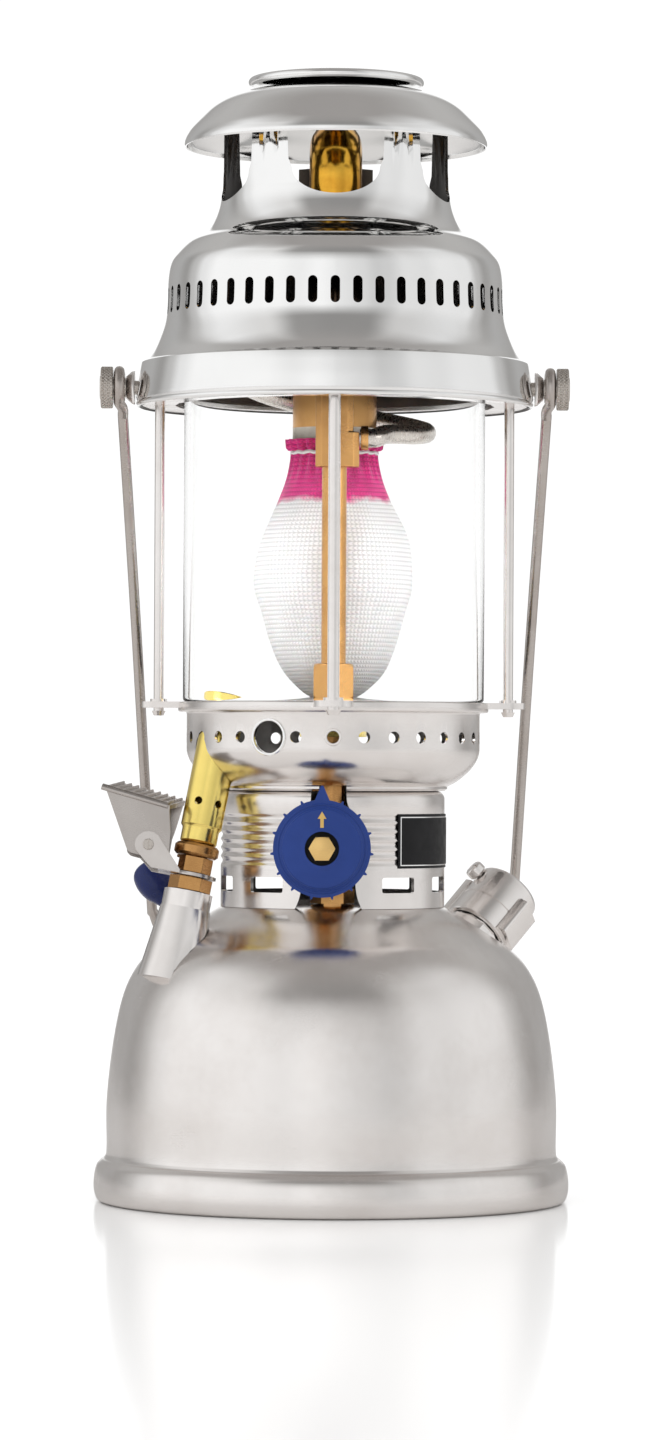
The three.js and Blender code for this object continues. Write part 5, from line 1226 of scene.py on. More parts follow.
HOOD_BASE = bottom_of("hood_body")
HOOD_RIM = reach_of("hood_body")
HOOD_NECK = 40.5
NECK_HEIGHT = 362
HOOD_WALL = 0.9
BEAD = 1.1
RIM_LINE = ((1, 0.04), (0.985, 0.09), (0.948, 0.185))
FLARE_LINE = (
    (0.94, 0.2), (0.883, 0.213), (0.8, 0.25), (0.727, 0.31), (0.66, 0.39), (0.638, 0.48), (0.632, 0.58),
    (0.6, 0.655), (0.529, 0.7), (0.39, 0.755), (0.22, 0.79), (0.12, 0.835), (0.04, 0.91), (0, 1),
)
HOOD_STEPS = 240
NECK_ROWS = 14
SLOT_MIDDLE = 321.5
WINDOWS = 5
WINDOW_SPAN = math.radians(45)
WINDOW_SILL = 356.8
WINDOW_SPRING = 366.3
WINDOW_TOP = top_of("hood_body") - 4
FLUTE_ANGLES = (math.radians(31.8), math.radians(40.2))
FLUTE_WIDTH = math.radians(2.6)
FLUTE_FOOT = 365
NOTCH = 2.8


def hood_outline():
    """The hood's outer outline from its bead up to the foot of the neck."""
    def spot(share):
        radius = HOOD_NECK + share[0] * (HOOD_RIM - HOOD_NECK)
        return (radius, HOOD_BASE + share[1] * (NECK_HEIGHT - HOOD_BASE))

    bead = arc((HOOD_RIM - BEAD, HOOD_BASE + BEAD), BEAD, -QUARTER, QUARTER / 2, 6)
    rim = [tuple(p) for p in flowing([spot(s) for s in RIM_LINE], 4)]
    flare = [tuple(p) for p in flowing([spot(s) for s in FLARE_LINE], 5)]
    return [*bead, *rim, *flare]


def fluted(shape, depth):
    """Presses the posts' flutes inward; they fade out toward the neck."""
    top = top_of("hood_body")
    for vert in shape.verts:
        rise = (vert.co.z - FLUTE_FOOT) / (top - FLUTE_FOOT)
        radius = vert.co.xy.length
        if rise <= 0 or radius > HOOD_NECK + MERGE:
            continue
        angle = math.atan2(vert.co.x, -vert.co.y) % (FULL / WINDOWS)
        press = 0.0
        for flute in FLUTE_ANGLES:
            away = abs(angle - flute) / (FLUTE_WIDTH * (0.4 + 0.6 * rise))
            press = max(press, (1 - away) if away < 1 else 0)
        vert.co.xy *= 1 - depth * press * min(1.6 * rise, 1) / radius


def hood_piece(looks, slots, wide, tall, flute):
    """The hood with its slots and windows, its fluted posts and the notches over the bail screws."""
    outer = hood_outline()
    top = top_of("hood_body")
    rows = [NECK_HEIGHT + (top - NECK_HEIGHT) * i / NECK_ROWS for i in range(1, NECK_ROWS + 1)]
    outer += [(HOOD_NECK, height) for height in rows]
    inner = []
    for a, b in zip(outer[4:], outer[5:]):
        along = (Vector(b) - Vector(a)).normalized()
        inner.append((b[0] - HOOD_WALL * along.y, b[1] + HOOD_WALL * along.x))
    inner = [(r, min(z, top)) for r, z in inner if z > HOOD_BASE + 2.5 * BEAD]
    edge = HOOD_RIM - 2 * BEAD
    shape = spun(
        [*outer, *reversed(inner), (edge, HOOD_BASE + 2 * BEAD), (edge, HOOD_BASE + BEAD)], HOOD_STEPS,
    )
    fluted(shape, flute)
    half = wide / 2
    straight = tall / 2 - half
    line = [(x, z + SLOT_MIDDLE + straight) for x, z in arc((0, 0), half, 0, HALF, 8)]
    line += [(x, z + SLOT_MIDDLE - straight) for x, z in arc((0, 0), half, HALF, FULL, 8)]
    slot = around(faced(line, -HOOD_RIM, -HOOD_NECK - HOOD_WALL), slots)
    width = HOOD_NECK * math.sin(WINDOW_SPAN / 2)
    sill = [
        (x, WINDOW_SPRING + z * (WINDOW_SPRING - WINDOW_SILL) / width)
        for x, z in arc((0, 0), width, -HALF, 0, 24)
    ]
    corners = [(-width - 1.2, WINDOW_SPRING + 3), (-width - 2, WINDOW_TOP)]
    opening = [*corners[::-1], *sill, *[(-x, z) for x, z in corners]]
    window = around(faced(opening, -HOOD_NECK - 3, -HOOD_NECK / 2), WINDOWS)
    shape = carved(shape, slot)
    shape = carved(shape, window)
    low = HOOD_BASE - 1 - PIVOT.z
    arch = [*arc((0, 0), NOTCH, 0, HALF, 12), (-NOTCH, low), (NOTCH, low)]
    for side in (QUARTER, -QUARTER):
        place = Matrix.Translation((0, 0, PIVOT.z)) @ Matrix.Rotation(side, 4, "Z")
        shape = carved(shape, placed(faced(arch, -HOOD_RIM - 2, -HOOD_NECK - 12), place))
    # The hood's inner faces carry painted shade.
    lay("hood_finished", shape, looks["chrome inner shade"], "hood", replaces=["hood_body"])


BRIM = reach_of("hood_dome")
BRIM_LOW = bottom_of("hood_dome")
DOME_TOP = top_of("hood_dome")
DOME_WALL = 0.8
CAP_LINE = (
    (1, 0.03), (0.998, 0.09), (0.985, 0.177), (0.955, 0.3), (0.893, 0.474), (0.82, 0.655), (0.742, 0.789),
    (0.65, 0.885), (0.56, 0.945), (0.4, 0.985), (0.2, 1), (0, 1),
)
DISC = reach_of("hood_top_disc")
DISC_LOW = bottom_of("hood_top_disc")
DISC_HIGH = top_of("hood_top_disc")
ROLL = 1.6


def dome_piece(looks):
    """The brim and crown over the hood's windows."""
    outer = [(u * BRIM, BRIM_LOW + v * (DOME_TOP - BRIM_LOW)) for u, v in CAP_LINE]
    outer = [(max(p.x, 0), p.y) for p in flowing(outer, 5)]
    inner = []
    for a, b in zip(outer, outer[1:]):
        along = (Vector(b) - Vector(a)).normalized()
        inner.append((max(b[0] - DOME_WALL * along.y, 0), b[1] + DOME_WALL * along.x))
    inner[-1] = (0, DOME_TOP - DOME_WALL)
    rim = [(BRIM - DOME_WALL, BRIM_LOW + 0.1), (BRIM - 0.25, BRIM_LOW)]
    shape = spun([*reversed(outer), *rim[::-1], *inner[2:]], 160)
    lay("dome_finished", shape, looks["chrome"], "hood", replaces=["hood_dome"])


def disc_piece(looks):
    """A shallow pan with a rolled edge."""
    height = DISC_HIGH - DISC_LOW
    roll = arc((DISC - ROLL, DISC_LOW + height / 2 + 0.1), ROLL, -QUARTER, HALF, 14)
    under = [(0, DISC_LOW), (DISC * 0.84, DISC_LOW), (DISC * 0.9, DISC_LOW + 0.1)]
    pan = [(DISC * u, DISC_LOW + height * v) for u, v in ((0.885, 0.45), (0.8, 0.3), (0, 0.27))]
    line = [*under, *roll, *pan]
    lay(
        "disc_finished", spun(line, 120), looks["chrome"], "hood", replaces=["hood_top_disc"],
    )


class LANTERN_OT_hood(bpy.types.Operator):
    """Slotted hood with its windows and fluted posts, the dome and the rolled disc"""
    bl_idname = "lantern.hood"
    bl_label = "Hood"

    def execute(self, context):
        sizes = context.scene.lantern_hood
        hood_piece(
            LOOKS, sizes.slot_count, sizes.slot_width / MM, sizes.slot_height / MM, sizes.flute_depth / MM,
        )
        dome_piece(LOOKS)
        disc_piece(LOOKS)
        return {"FINISHED"}


# Burner: valve body, vaporizer, loop, mixing tube, nozzle, casing and mantle

# A nut's hexagon bar stands past both ends before it is turned, so that no two end faces share a plane.
BAR_SPARE = 1


def nut(flats, bottom, top, bore=0.0, start=0.0, crown=0.12):
    """A hexagon nut with its corners turned off at both ends."""
    reach = flats / math.sqrt(3) + 0.01
    face = flats / 2 * 0.96
    drop = crown * (top - bottom)
    turned = spun(
        [(0, bottom), (face, bottom), (reach, bottom + drop), (reach, top - drop), (face, top), (0, top)], 72,
    )
    shape = carved(raised(hexagon(flats, start), bottom - BAR_SPARE, top + BAR_SPARE), turned, "INTERSECT")
    if bore:
        shape = carved(shape, rod(bore, bottom - 1, top + 1, 32))
    return shape


# Across the flats, lower end, upper end, bore and turn of the union nut
VAPORIZER_NUT = (13.95, 179, 192, 4.65, QUARTER / 3)
LOOP_RISE = (271, 295)
LOOP_RADIUS = 33
LOOP_TUBE = 3.4
FERRULE = (0.9, 1.3)
LOOP_TURN = (math.radians(34), math.radians(334))
HEAD_SIDES = (8.95, -6.95)


def loop_piece(looks):
    """The steel tube that rises once round the burner, and its two ferrules."""
    front = BURNER_LINE.y
    right, left = HEAD_SIDES
    points = [(right, front, LOOP_RISE[0]), (right + 5, front, LOOP_RISE[0])]
    for i in range(12):
        share = i / 11
        angle = LOOP_TURN[0] + share * (LOOP_TURN[1] - LOOP_TURN[0])
        low = LOOP_RISE[0] + LOOP_TUBE / 2
        height = low + math.sin(share * QUARTER) ** 2 * (LOOP_RISE[1] - low)
        points.append((LOOP_RADIUS * math.sin(angle), -LOOP_RADIUS * math.cos(angle), height))
    points += [(left - 5, front, LOOP_RISE[1]), (left, front, LOOP_RISE[1])]
    lay(
        "vaporizer_loop_finished", piped(flowing(points, 8), LOOP_TUBE, 24), looks["steel"], "lantern",
        replaces=["vaporizer_loop"],
    )
    for name, spot, angle in (
        ("loop_ferrule_right", right + 1.6, QUARTER), ("loop_ferrule_left", left - 1.6, -QUARTER),
    ):
        height = LOOP_RISE[0] if spot > 0 else LOOP_RISE[1]
        outside = LOOP_TUBE + FERRULE[0]
        half = FERRULE[1]
        ring = spun(
            rounded([(LOOP_TUBE, -half), (outside, -half), (outside, half), (LOOP_TUBE, half)], 0.5), 32,
        )
        place = Matrix.Translation((spot, front, height)) @ Matrix.Rotation(angle, 4, "Y")
        lay(name, ring, looks["bronze"], "lantern", place)


MIX_RADIUS = 9.3
MIX_WALL = 0.9
MIX_MOUTH = 311
MIX_BEND = 14.6
MIX_BEND_HEIGHT = 361
MIX_FOOT = 299
ARCH_STEPS = 32


def arch_line():
    """Straight up from the jet, round the bend in even steps, and straight down to the burner."""
    mouth = Vector((0, BURNER_LINE.y, MIX_MOUTH))
    turn = Vector((0, -2 * MIX_BEND, MIX_BEND_HEIGHT))
    points = [mouth.lerp(turn, i / 6) for i in range(6)]
    for i in range(ARCH_STEPS + 1):
        angle = HALF * i / ARCH_STEPS
        depth = -MIX_BEND - MIX_BEND * math.cos(angle)
        points.append(Vector((0, depth, MIX_BEND_HEIGHT + MIX_BEND * math.sin(angle))))
    foot = Vector((0, 0, MIX_FOOT))
    points += [points[-1].lerp(foot, i / 6) for i in range(1, 7)]
    return points


def mixing_piece(looks):
    """The brass arch from the jet to the burner."""
    shape = piped(arch_line(), MIX_RADIUS, 48, wall=MIX_WALL)
    # The arch's lower part carries the amber brass's painted shade.
    lay(
        "mixing_tube_finished", shape, looks["amber brass"], "lantern", replaces=["mixing_tube"],
    )


MANTLE_LOW = 179.5
MANTLE_HIGH = 271.5
MANTLE_WIDE = 28.4
MANTLE_NECK = 14.6
MANTLE_DEPTH = 0.96
MANTLE_TIE = 267.2
MANTLE_LINE = (
    (0.03, -0.004), (0.13, 0), (0.42, 0.048), (0.69, 0.145), (0.89, 0.327), (1, 0.46), (0.93, 0.62),
    (0.7, 0.777), (0.58, 0.87),
)
MANTLE_AROUND = 264
FRILL = 2.1


def mantle_piece(looks, pleats, depth, thread):
    """The knitted bag, pleated at its neck and foot, and the string that ties it."""
    line = [(u * MANTLE_WIDE, MANTLE_LOW + v * (MANTLE_HIGH - MANTLE_LOW)) for u, v in MANTLE_LINE]
    line += [
        (MANTLE_NECK, MANTLE_TIE), (MANTLE_NECK + 0.9, MANTLE_TIE + 1.8),
        (MANTLE_NECK + 1.9, MANTLE_HIGH + 0.4),
    ]
    line = [tuple(p) for p in flowing(line, 9)]
    along = [0.0]
    for a, b in zip(line, line[1:]):
        along.append(along[-1] + math.dist(a, b))
    shape = spun([*line, (0, MANTLE_HIGH + 0.4)], MANTLE_AROUND)
    lid = [face for face in shape.faces if all(vert.co.z > MANTLE_HIGH + 0.39 for vert in face.verts)]
    bmesh.ops.delete(shape, geom=lid, context="FACES")
    bmesh.ops.delete(shape, geom=[vert for vert in shape.verts if not vert.link_faces], context="VERTS")
    low_end = line[0][1]

    def way_up(height, radius):
        """How far along the knitted line a point lies, from 0 to 1."""
        best = min(range(len(line)), key=lambda i: abs(line[i][1] - height) + abs(line[i][0] - radius))
        return along[best] / along[-1]
    ways = {}
    for vert in shape.verts:
        ways[vert] = way_up(vert.co.z, vert.co.xy.length)
    uv = shape.loops.layers.uv.new("knit")
    for face in shape.faces:
        turns = [math.atan2(loop.vert.co.y, loop.vert.co.x) / FULL % 1 for loop in face.loops]
        wraps = max(turns) - min(turns) > 0.5
        for loop, turn in zip(face.loops, turns):
            loop[uv].uv = (turn + 1 if wraps and turn < 0.5 else turn, ways[loop.vert])
    for vert in shape.verts:
        radius = vert.co.xy.length
        angle = math.atan2(vert.co.y, vert.co.x)
        neck = max(0, 1 - abs(vert.co.z - MANTLE_TIE) / 13) ** 1.4
        foot = max(0, 1 - (vert.co.z - low_end) / 7) * min(radius / 6, 1)
        frill = FRILL if vert.co.z > MANTLE_TIE + 0.8 else 1
        wave = math.sin(pleats * angle + 0.7 * math.sin(3 * angle) + 0.02 * vert.co.z)
        push = depth * wave * (neck * frill + 0.4 * foot)
        push += 0.35 * math.sin(5 * angle + 0.11 * vert.co.z) * math.sin(HALF * ways[vert])
        push += 0.2 * math.sin(11 * angle - 0.23 * vert.co.z) * math.sin(HALF * ways[vert])
        scale = (radius + push) / radius if radius > 0.5 else 1
        vert.co.x *= scale
        vert.co.y *= scale * MANTLE_DEPTH
    bag = lay(
        "mantle_net", shape, looks["mantle"], "lantern", replaces=["mantle"],
        crease=HALF,
    )
    radius = MANTLE_NECK + 0.75
    ring = []
    for t in range(64):
        angle = t * FULL / 64
        height = MANTLE_TIE + 0.25 * math.sin(t * 1.7)
        ring.append((radius * math.cos(angle), radius * MANTLE_DEPTH * math.sin(angle), height))
    tie = lay(
        "mantle_string", piped(ring, thread, 10, closed=True), looks["white"], "lantern",
    )


class LANTERN_OT_burner(bpy.types.Operator):
    """Valve body, vaporizer with its loop, mixing tube, ceramic nozzle and casing"""
    bl_idname = "lantern.burner"
    bl_label = "Burner"

    def execute(self, context):
        eased("valve_body", LOOKS["bronze"], "lantern", bevel=0.15)
        lay(
            "vaporizer_nut_finished", nut(*VAPORIZER_NUT), LOOKS["bronze"], "lantern", BURNER,
            replaces=["vaporizer_nut"], bevel=0.15,
        )
        turned_again("vaporizer_tube", LOOKS["bronze"], "lantern", BURNER)
        eased("vaporizer_head", LOOKS["bronze"], "lantern", bevel=0.45)
        loop_piece(LOOKS)
        turned_again("jet", LOOKS["brass"], "lantern", BURNER, bevel=0.1)
        turned_again("preheat_cup", LOOKS["flame brass"], "lantern", BURNER)
        mixing_piece(LOOKS)
        turned_again("mixing_chamber", LOOKS["bronze"], "lantern")
        turned_again("nozzle", LOOKS["clay"], "lantern", bevel=0.4)
        eased("inner_casing", LOOKS["casing"], "lantern", bevel=0.15)
        return {"FINISHED"}


class LANTERN_OT_mantle(bpy.types.Operator):
    """The knitted mantle, gathered by its string under the nozzle's rim"""
    bl_idname = "lantern.mantle"
    bl_label = "Mantle"

    def execute(self, context):
        sizes = context.scene.lantern_mantle
        mantle_piece(LOOKS, sizes.pleats, sizes.pleat_depth / MM, sizes.thread / MM)
        return {"FINISHED"}


# Control wheel, spindle and gland

WHEEL_RADIUS = 17
WHEEL_BACK = 54
WHEEL_SIDE = 6
WHEEL_STEP = 14
WHEEL_HUB = 5.2
WHEEL_FRONT = 62
RECESS = 6
RECESS_FLOOR = 57.6
SPINDLE_BORE = 2.3
WHEEL_NUT = (8.4, RECESS_FLOOR, RECESS_FLOOR + 3.4)
PACKING_NUT = (10, 48.3, 53.3, SPINDLE_BORE, QUARTER)
ARROW = ((-0.62, 7.3), (0.62, 7.3), (0.62, 10.4), (1.55, 10.4), (0, 13), (-1.55, 10.4), (-0.62, 10.4))


def wheel_piece(looks, teeth, tooth, pointer):
    """The toothed wheel with its pointer, a thin black disc of painted shade on its recess floor and the
    arrow on its face.
    """
    line = []
    pitch = FULL / teeth
    tip = math.radians(8.8)
    half = math.radians(1.9)
    for i in range(teeth):
        middle = QUARTER + i * pitch
        if i == 0:
            spots = [
                (-tip, 0), (-0.14 * tip, pointer * 0.95), (0, pointer), (0.14 * tip, pointer * 0.95),
                (tip, 0),
            ]
        else:
            spots = [(-half, 0), (-half * 0.4, tooth * 0.85), (half * 0.4, tooth * 0.85), (half, 0)]
        for turn, height in spots:
            radius = WHEEL_RADIUS + height
            line.append((radius * math.cos(middle + turn), radius * math.sin(middle + turn)))
        rest = 7
        start = tip if i == 0 else half
        stop = pitch - (tip if i == teeth - 1 else half)
        for k in range(1, rest):
            turn = start + (stop - start) * k / rest
            line.append((WHEEL_RADIUS * math.cos(middle + turn), WHEEL_RADIUS * math.sin(middle + turn)))
    back = WHEEL_BACK
    rim = raised(line, back, back + WHEEL_SIDE)
    step = back + WHEEL_SIDE
    face = [
        (0, back + 1), (15.9, back + 1), (15.9, step + 0.01), (15.4, step + 0.5), (14.9, step + 0.35),
        *arc((WHEEL_STEP - 0.7, WHEEL_FRONT - 0.9), 0.7, 0, QUARTER, 5), (8.3, WHEEL_FRONT - 0.45),
        (7.2, WHEEL_FRONT - 0.2), (6.7, WHEEL_FRONT), (0, WHEEL_FRONT),
    ]
    shape = carved(rim, spun(face, 96), "UNION")
    recess = spun([
        (0, back - 1), (SPINDLE_BORE, back - 1), (SPINDLE_BORE, RECESS_FLOOR), (RECESS, RECESS_FLOOR),
        (RECESS, WHEEL_FRONT + 1), (0, WHEEL_FRONT + 1),
    ], 64)
    shape = carved(shape, recess)
    deep = RECESS_FLOOR - 3
    hollow = spun([(WHEEL_HUB, back - 1), (WHEEL_STEP, back - 1), (WHEEL_STEP, deep), (WHEEL_HUB, deep)], 64)
    shape = carved(shape, hollow)
    lay(
        "wheel_finished", shape, looks["blue"], "wheel", SPINDLE, replaces=["control_wheel"],
        bevel=0.22,
    )
    # Painted shade: a thin black disc on the recess floor stands in for the shade inside the recess.
    recess_shade = spun([(SPINDLE_BORE, 0), (RECESS - 0.1, 0), (RECESS - 0.1, 0.05), (SPINDLE_BORE, 0.05)], 48)
    lay("wheel_recess_shade", recess_shade, looks["black"], "wheel", SPINDLE @ Matrix.Translation((0, 0, RECESS_FLOOR)))
    arrow = raised(ARROW, WHEEL_FRONT - 0.75, WHEEL_FRONT - 0.18)
    lay("wheel_arrow", arrow, looks["gold"], "wheel", SPINDLE, bevel=0.06)


class LANTERN_OT_wheel(bpy.types.Operator):
    """Control wheel with its pointer and bare face, its nut, the spindle and the gland nut"""
    bl_idname = "lantern.wheel"
    bl_label = "Control wheel"

    def execute(self, context):
        sizes = context.scene.lantern_wheel
        wheel_piece(LOOKS, sizes.teeth, sizes.tooth / MM, sizes.pointer / MM)
        lay(
            "wheel_nut_finished", nut(*WHEEL_NUT), LOOKS["brass"], "wheel", SPINDLE, replaces=["wheel_nut"],
            bevel=0.15,
        )
        eased("spindle", LOOKS["steel"], "wheel", bevel=0.1)
        lay(
            "packing_nut_finished", nut(*PACKING_NUT), LOOKS["bronze"], "lantern", SPINDLE,
            replaces=["packing_nut"], bevel=0.15,
        )
        return {"FINISHED"}


# Preheating torch: local +Z runs up the tilted tube and -X points away from the lantern

VENTS = 6
VENT_RADIUS = 1.45
VENT_HEIGHT = 29.6
VENT_START = math.radians(38.3)
THUMB = ((-36.2, 28.3), (-12.2, 26.1))
SKEW = (0.27, 0.24)
LIP = 1.15
SKEW_FROM = 14
THUMB_RIBS = 9
THUMB_RIB = ((0, 0), (0.2, 0.25), (0.42, 0.95), (0.5, 1), (0.58, 0.8), (0.64, 0.1))
CHEEK_LINE = ((-35.6, 28), (-12.4, 26), (-10.2, 17), (-9.2, 8.2), (-17, 6.9), (-23.6, 7.3))
PIN = (-16.9, 11)
PIN_HOLE = 1.5
CHEEK = 8.7


def flame_tube_piece(looks):
    """The torch's stepped tube with its ring of air holes and its flared mouth."""
    base = FLAME_FOOT
    step = base + 5.6
    line = [
        (4.4, base), (6.1, base), (6.55, base + 0.5), (6.55, step - 0.6), (6.75, step - 0.1),
        (7.3, step + 0.5), (7.3, 61.6), (7.45, 65), (7.9, 69.2), (7.75, 69.5), (7.2, 69.2), (6.7, 65),
        (6.6, 61.6), (6.6, step + 1.2), (4.4, step),
    ]
    vents = []
    for i in range(VENTS):
        place = across_axis(VENT_START + FULL * i / VENTS, VENT_HEIGHT)
        vents.append(placed(rod(VENT_RADIUS, 5, 9, 24), place))
    shape = carved(spun(line, 96), joined(*vents))
    lay(
        "flame_tube_finished", shape, looks["flame brass"], "lantern", FLAME, replaces=["flame_tube"],
        bevel=0.08,
    )


def lever_piece(looks):
    """A folded sheet lever: a ribbed thumb plate between two cheeks."""
    left, right = THUMB
    slope = (right[1] - left[1]) / (right[0] - left[0])
    walls = []
    for near in (-CHEEK, CHEEK - 1):
        walls.append(faced(rounded(CHEEK_LINE, 1.6, 5), near, near + 1))
    top = [(left[0], left[1] - 1.2), (left[0] - 0.9, left[1] - 0.6)]
    pitch = (right[0] - left[0]) / THUMB_RIBS
    for i in range(THUMB_RIBS):
        for share, rise in THUMB_RIB:
            along = left[0] + (i + share) * pitch
            top.append((along, left[1] + slope * (along - left[0]) + 0.85 * rise - 0.1))
    top += [(right[0], right[1]), (right[0] + 0.3, right[1] - 1.4), (right[0] - 0.6, right[1] - 1.5)]
    plate = faced(top, -CHEEK, CHEEK)
    run = math.dist(left, right)
    corner = Matrix.Translation((left[0], 0.35 - CHEEK, left[1] - 0.3))
    lip = placed(rod(LIP, -0.6, run - 0.4, 24), corner @ Matrix.Rotation(QUARTER - math.atan(slope), 4, "Y"))
    plate = carved(plate, lip, "UNION")
    web = boxed((1.2, 16.4, 8.7), (-11, 0, 9.6))
    tongue = boxed((9.4, 2.4, 0.8), (-6.9, 0, 5.7))
    shape = plate
    for part in (*walls, web, tongue):
        shape = carved(shape, part, "UNION")
    across = Matrix.Translation((PIN[0], 0, PIN[1])) @ Matrix.Rotation(QUARTER, 4, "X")
    shape = carved(shape, placed(rod(PIN_HOLE, -12, 12, 24), across))
    for vert in shape.verts:
        share = min(max((vert.co.z - SKEW_FROM) / (right[1] - SKEW_FROM), 0), 1) * (vert.co.y + CHEEK)
        vert.co.x += SKEW[0] * share
        vert.co.z += SKEW[1] * share
    # The lever's plate is the darker copy: painted shade.
    lay(
        "lever_finished", shape, looks["plate with painted shade"], "lever", TORCH, replaces=["torch_lever"],
        bevel=0.22,
    )


def spring_piece(looks):
    """The plunger's spring, copied from the frame and given a mesh of its own; in the lantern it shortens
    toward its upper seat as the lever lifts the plunger.
    """
    spring = eased("torch_spring", looks["steel"], "lantern", bevel=0)
    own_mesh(spring)


class LANTERN_OT_torch(bpy.types.Operator):
    """Preheating torch with its well, nuts, flame tube and thumb lever"""
    bl_idname = "lantern.torch"
    bl_label = "Preheating torch"

    def execute(self, context):
        looks = LOOKS
        flame_tube_piece(looks)
        lever_piece(looks)
        eased("torch_well", looks["nickel"], "lantern", bevel=0.3)
        # The bracket's plate is the lighter copy: painted light.
        eased("torch_bracket", looks["plate with painted light"], "lantern", bevel=0.45)
        eased("torch_body", looks["bronze"], "lantern", bevel=0.2)
        eased("torch_hex_nut", looks["bronze"], "lantern", bevel=0.2)
        turned_again("torch_round_nut", looks["bronze"], "lantern", TORCH)
        turned_again("torch_plunger", looks["brass"], "plunger", TORCH)
        spring_piece(looks)
        eased("lever_pin", looks["steel"], "lantern", bevel=0.25)
        return {"FINISHED"}


# Pump

KNOB_LINE = (
    (0, 0), (0.39, 0), (0.42, 0.06), (0.4, 0.16), (0.5, 0.24), (0.7, 0.36), (0.86, 0.45), (0.96, 0.55),
    (1, 0.67), (0.97, 0.77), (0.87, 0.87), (0.66, 0.95), (0.36, 0.99), (0, 1),
)
KNOB = (6.7, 8.8, 31)


class LANTERN_OT_pump(bpy.types.Operator):
    """Pump knob, rod, leather piston, barrel and check valve"""
    bl_idname = "lantern.pump"
    bl_label = "Pump"

    def execute(self, context):
        looks = LOOKS
        wide, low, high = KNOB
        marks = [(u * wide, low + v * (high - low)) for u, v in KNOB_LINE]
        line = [(max(p.x, 0), p.y) for p in flowing(marks, 6)]
        lay(
            "pump_knob_finished", spun(line, 72), looks["navy"], "pump", PUMP, replaces=["pump_knob"],
        )
        turned_again("pump_rod", looks["steel"], "pump", PUMP)
        turned_again("pump_piston", looks["leather"], "pump", PUMP)
        turned_again("pump_barrel", looks["brass"], "lantern", PUMP)
        turned_again("pump_check_valve", looks["brass"], "lantern", PUMP)
        eased("pump_cap", looks["nickel"], "lantern", bevel=0.2)
        return {"FINISHED"}


# Filler cap with its gauge and release screw

CAP_RADIUS = 12.3
CAP_TOP = 13
CAP_BOTTOM = -9
CAP_BORE = 10.6
CAP_PLATE = 9.7
DIAL_RADIUS = 8.4
DIAL_FLOOR = 10.6
GRIP_START = math.radians(50)
GRIP_LINE = ((-6.5, -10.9), (6.5, -10.9), (5.6, -14.7), (-5.6, -14.7))
RELEASE_TURN = math.radians(-80)
RELEASE_HEIGHT = 8.6
DIAL_MARKS = 21
DIAL_FROM = -30
DIAL_SWEEP = 240


def cap_piece(looks):
    """The filler cap with its two grips, the gauge's well and the hole of the release screw."""
    line = [
        (0, CAP_PLATE), (CAP_BORE, CAP_PLATE), (CAP_BORE, CAP_BOTTOM), (CAP_RADIUS - 0.4, CAP_BOTTOM),
        (CAP_RADIUS, CAP_BOTTOM + 0.4), (CAP_RADIUS, -0.35), (CAP_RADIUS - 0.4, -0.2),
        (CAP_RADIUS - 0.4, 0.2), (CAP_RADIUS, 0.35), *arc((CAP_RADIUS - 2, CAP_TOP - 2), 2, 0, QUARTER, 7),
        (DIAL_RADIUS + 0.5, CAP_TOP), (DIAL_RADIUS, CAP_TOP - 0.5), (DIAL_RADIUS, DIAL_FLOOR),
        (0, DIAL_FLOOR),
    ]
    shape = spun(line, 96)
    for i in range(2):
        grip = placed(raised(rounded(GRIP_LINE, 1.1), -8, 7), Matrix.Rotation(GRIP_START + i * HALF, 4, "Z"))
        shape = carved(shape, grip, "UNION")
    shape = carved(shape, placed(rod(1.6, 10.2, 13, 24), across_axis(RELEASE_TURN, RELEASE_HEIGHT)))
    lay(
        "filler_cap_finished", shape, looks["nickel"], "cap", FILLER, replaces=["filler_cap"],
        bevel=0.18,
    )


def dial_pieces(looks):
    """The gauge's white face with plain marks round it."""
    lay(
        "gauge_dial", rod(DIAL_RADIUS - 0.3, DIAL_FLOOR, DIAL_FLOOR + 0.12, 64), looks["white"], "cap",
        FILLER,
    )
    marks = []
    for i in range(DIAL_MARKS):
        run, thick, inset = (1.9, 0.34, 1.9) if i % 5 == 0 else (1.1, 0.18, 1.5)
        mark = boxed((run, thick, 0.08), (DIAL_RADIUS - inset, 0, DIAL_FLOOR + 0.14))
        turn = DIAL_FROM + DIAL_SWEEP * i / (DIAL_MARKS - 1)
        marks.append(placed(mark, Matrix.Rotation(math.radians(turn), 4, "Z")))
    lay("gauge_marks", joined(*marks), looks["black"], "cap", FILLER)


def release_piece(looks):
    """The slotted screw in the cap's side that lets the pressure out."""
    across = across_axis(RELEASE_TURN, RELEASE_HEIGHT)
    start = CAP_RADIUS + 0.3
    shoulder = start + 2.6
    end = start + 3.8
    line = [(0, 10.8), (1.3, 10.8), (1.3, start), (2.9, start), (3.4, start + 0.5), (3.4, shoulder)]
    shape = spun([*line, *arc((2.2, shoulder), 1.2, 0, QUARTER, 5)[1:], (0, end)], 48)
    slot = boxed((8, 0.7, 1.6), (0, 0, end))
    lay(
        "release_screw_finished", carved(shape, slot), looks["nickel"], "release", FILLER @ across,
        replaces=["release_screw"], bevel=0.08,
    )


class LANTERN_OT_filler(bpy.types.Operator):
    """Filler neck and cap with the gauge, its pointer and the release screw"""
    bl_idname = "lantern.filler"
    bl_label = "Filler cap"

    def execute(self, context):
        looks = LOOKS
        cap_piece(looks)
        dial_pieces(looks)
        release_piece(looks)
        eased("filler_neck", looks["nickel"], "lantern", bevel=0.15)
        turned_again("cap_seal", looks["rubber"], "cap", FILLER)
        turned_again("gauge_glass", looks["glass"], "cap", FILLER, bevel=0.1)
        eased("gauge_needle", looks["red"], "pointer", bevel=0.05)
        return {"FINISHED"}


# Bail, knurled screws and washers

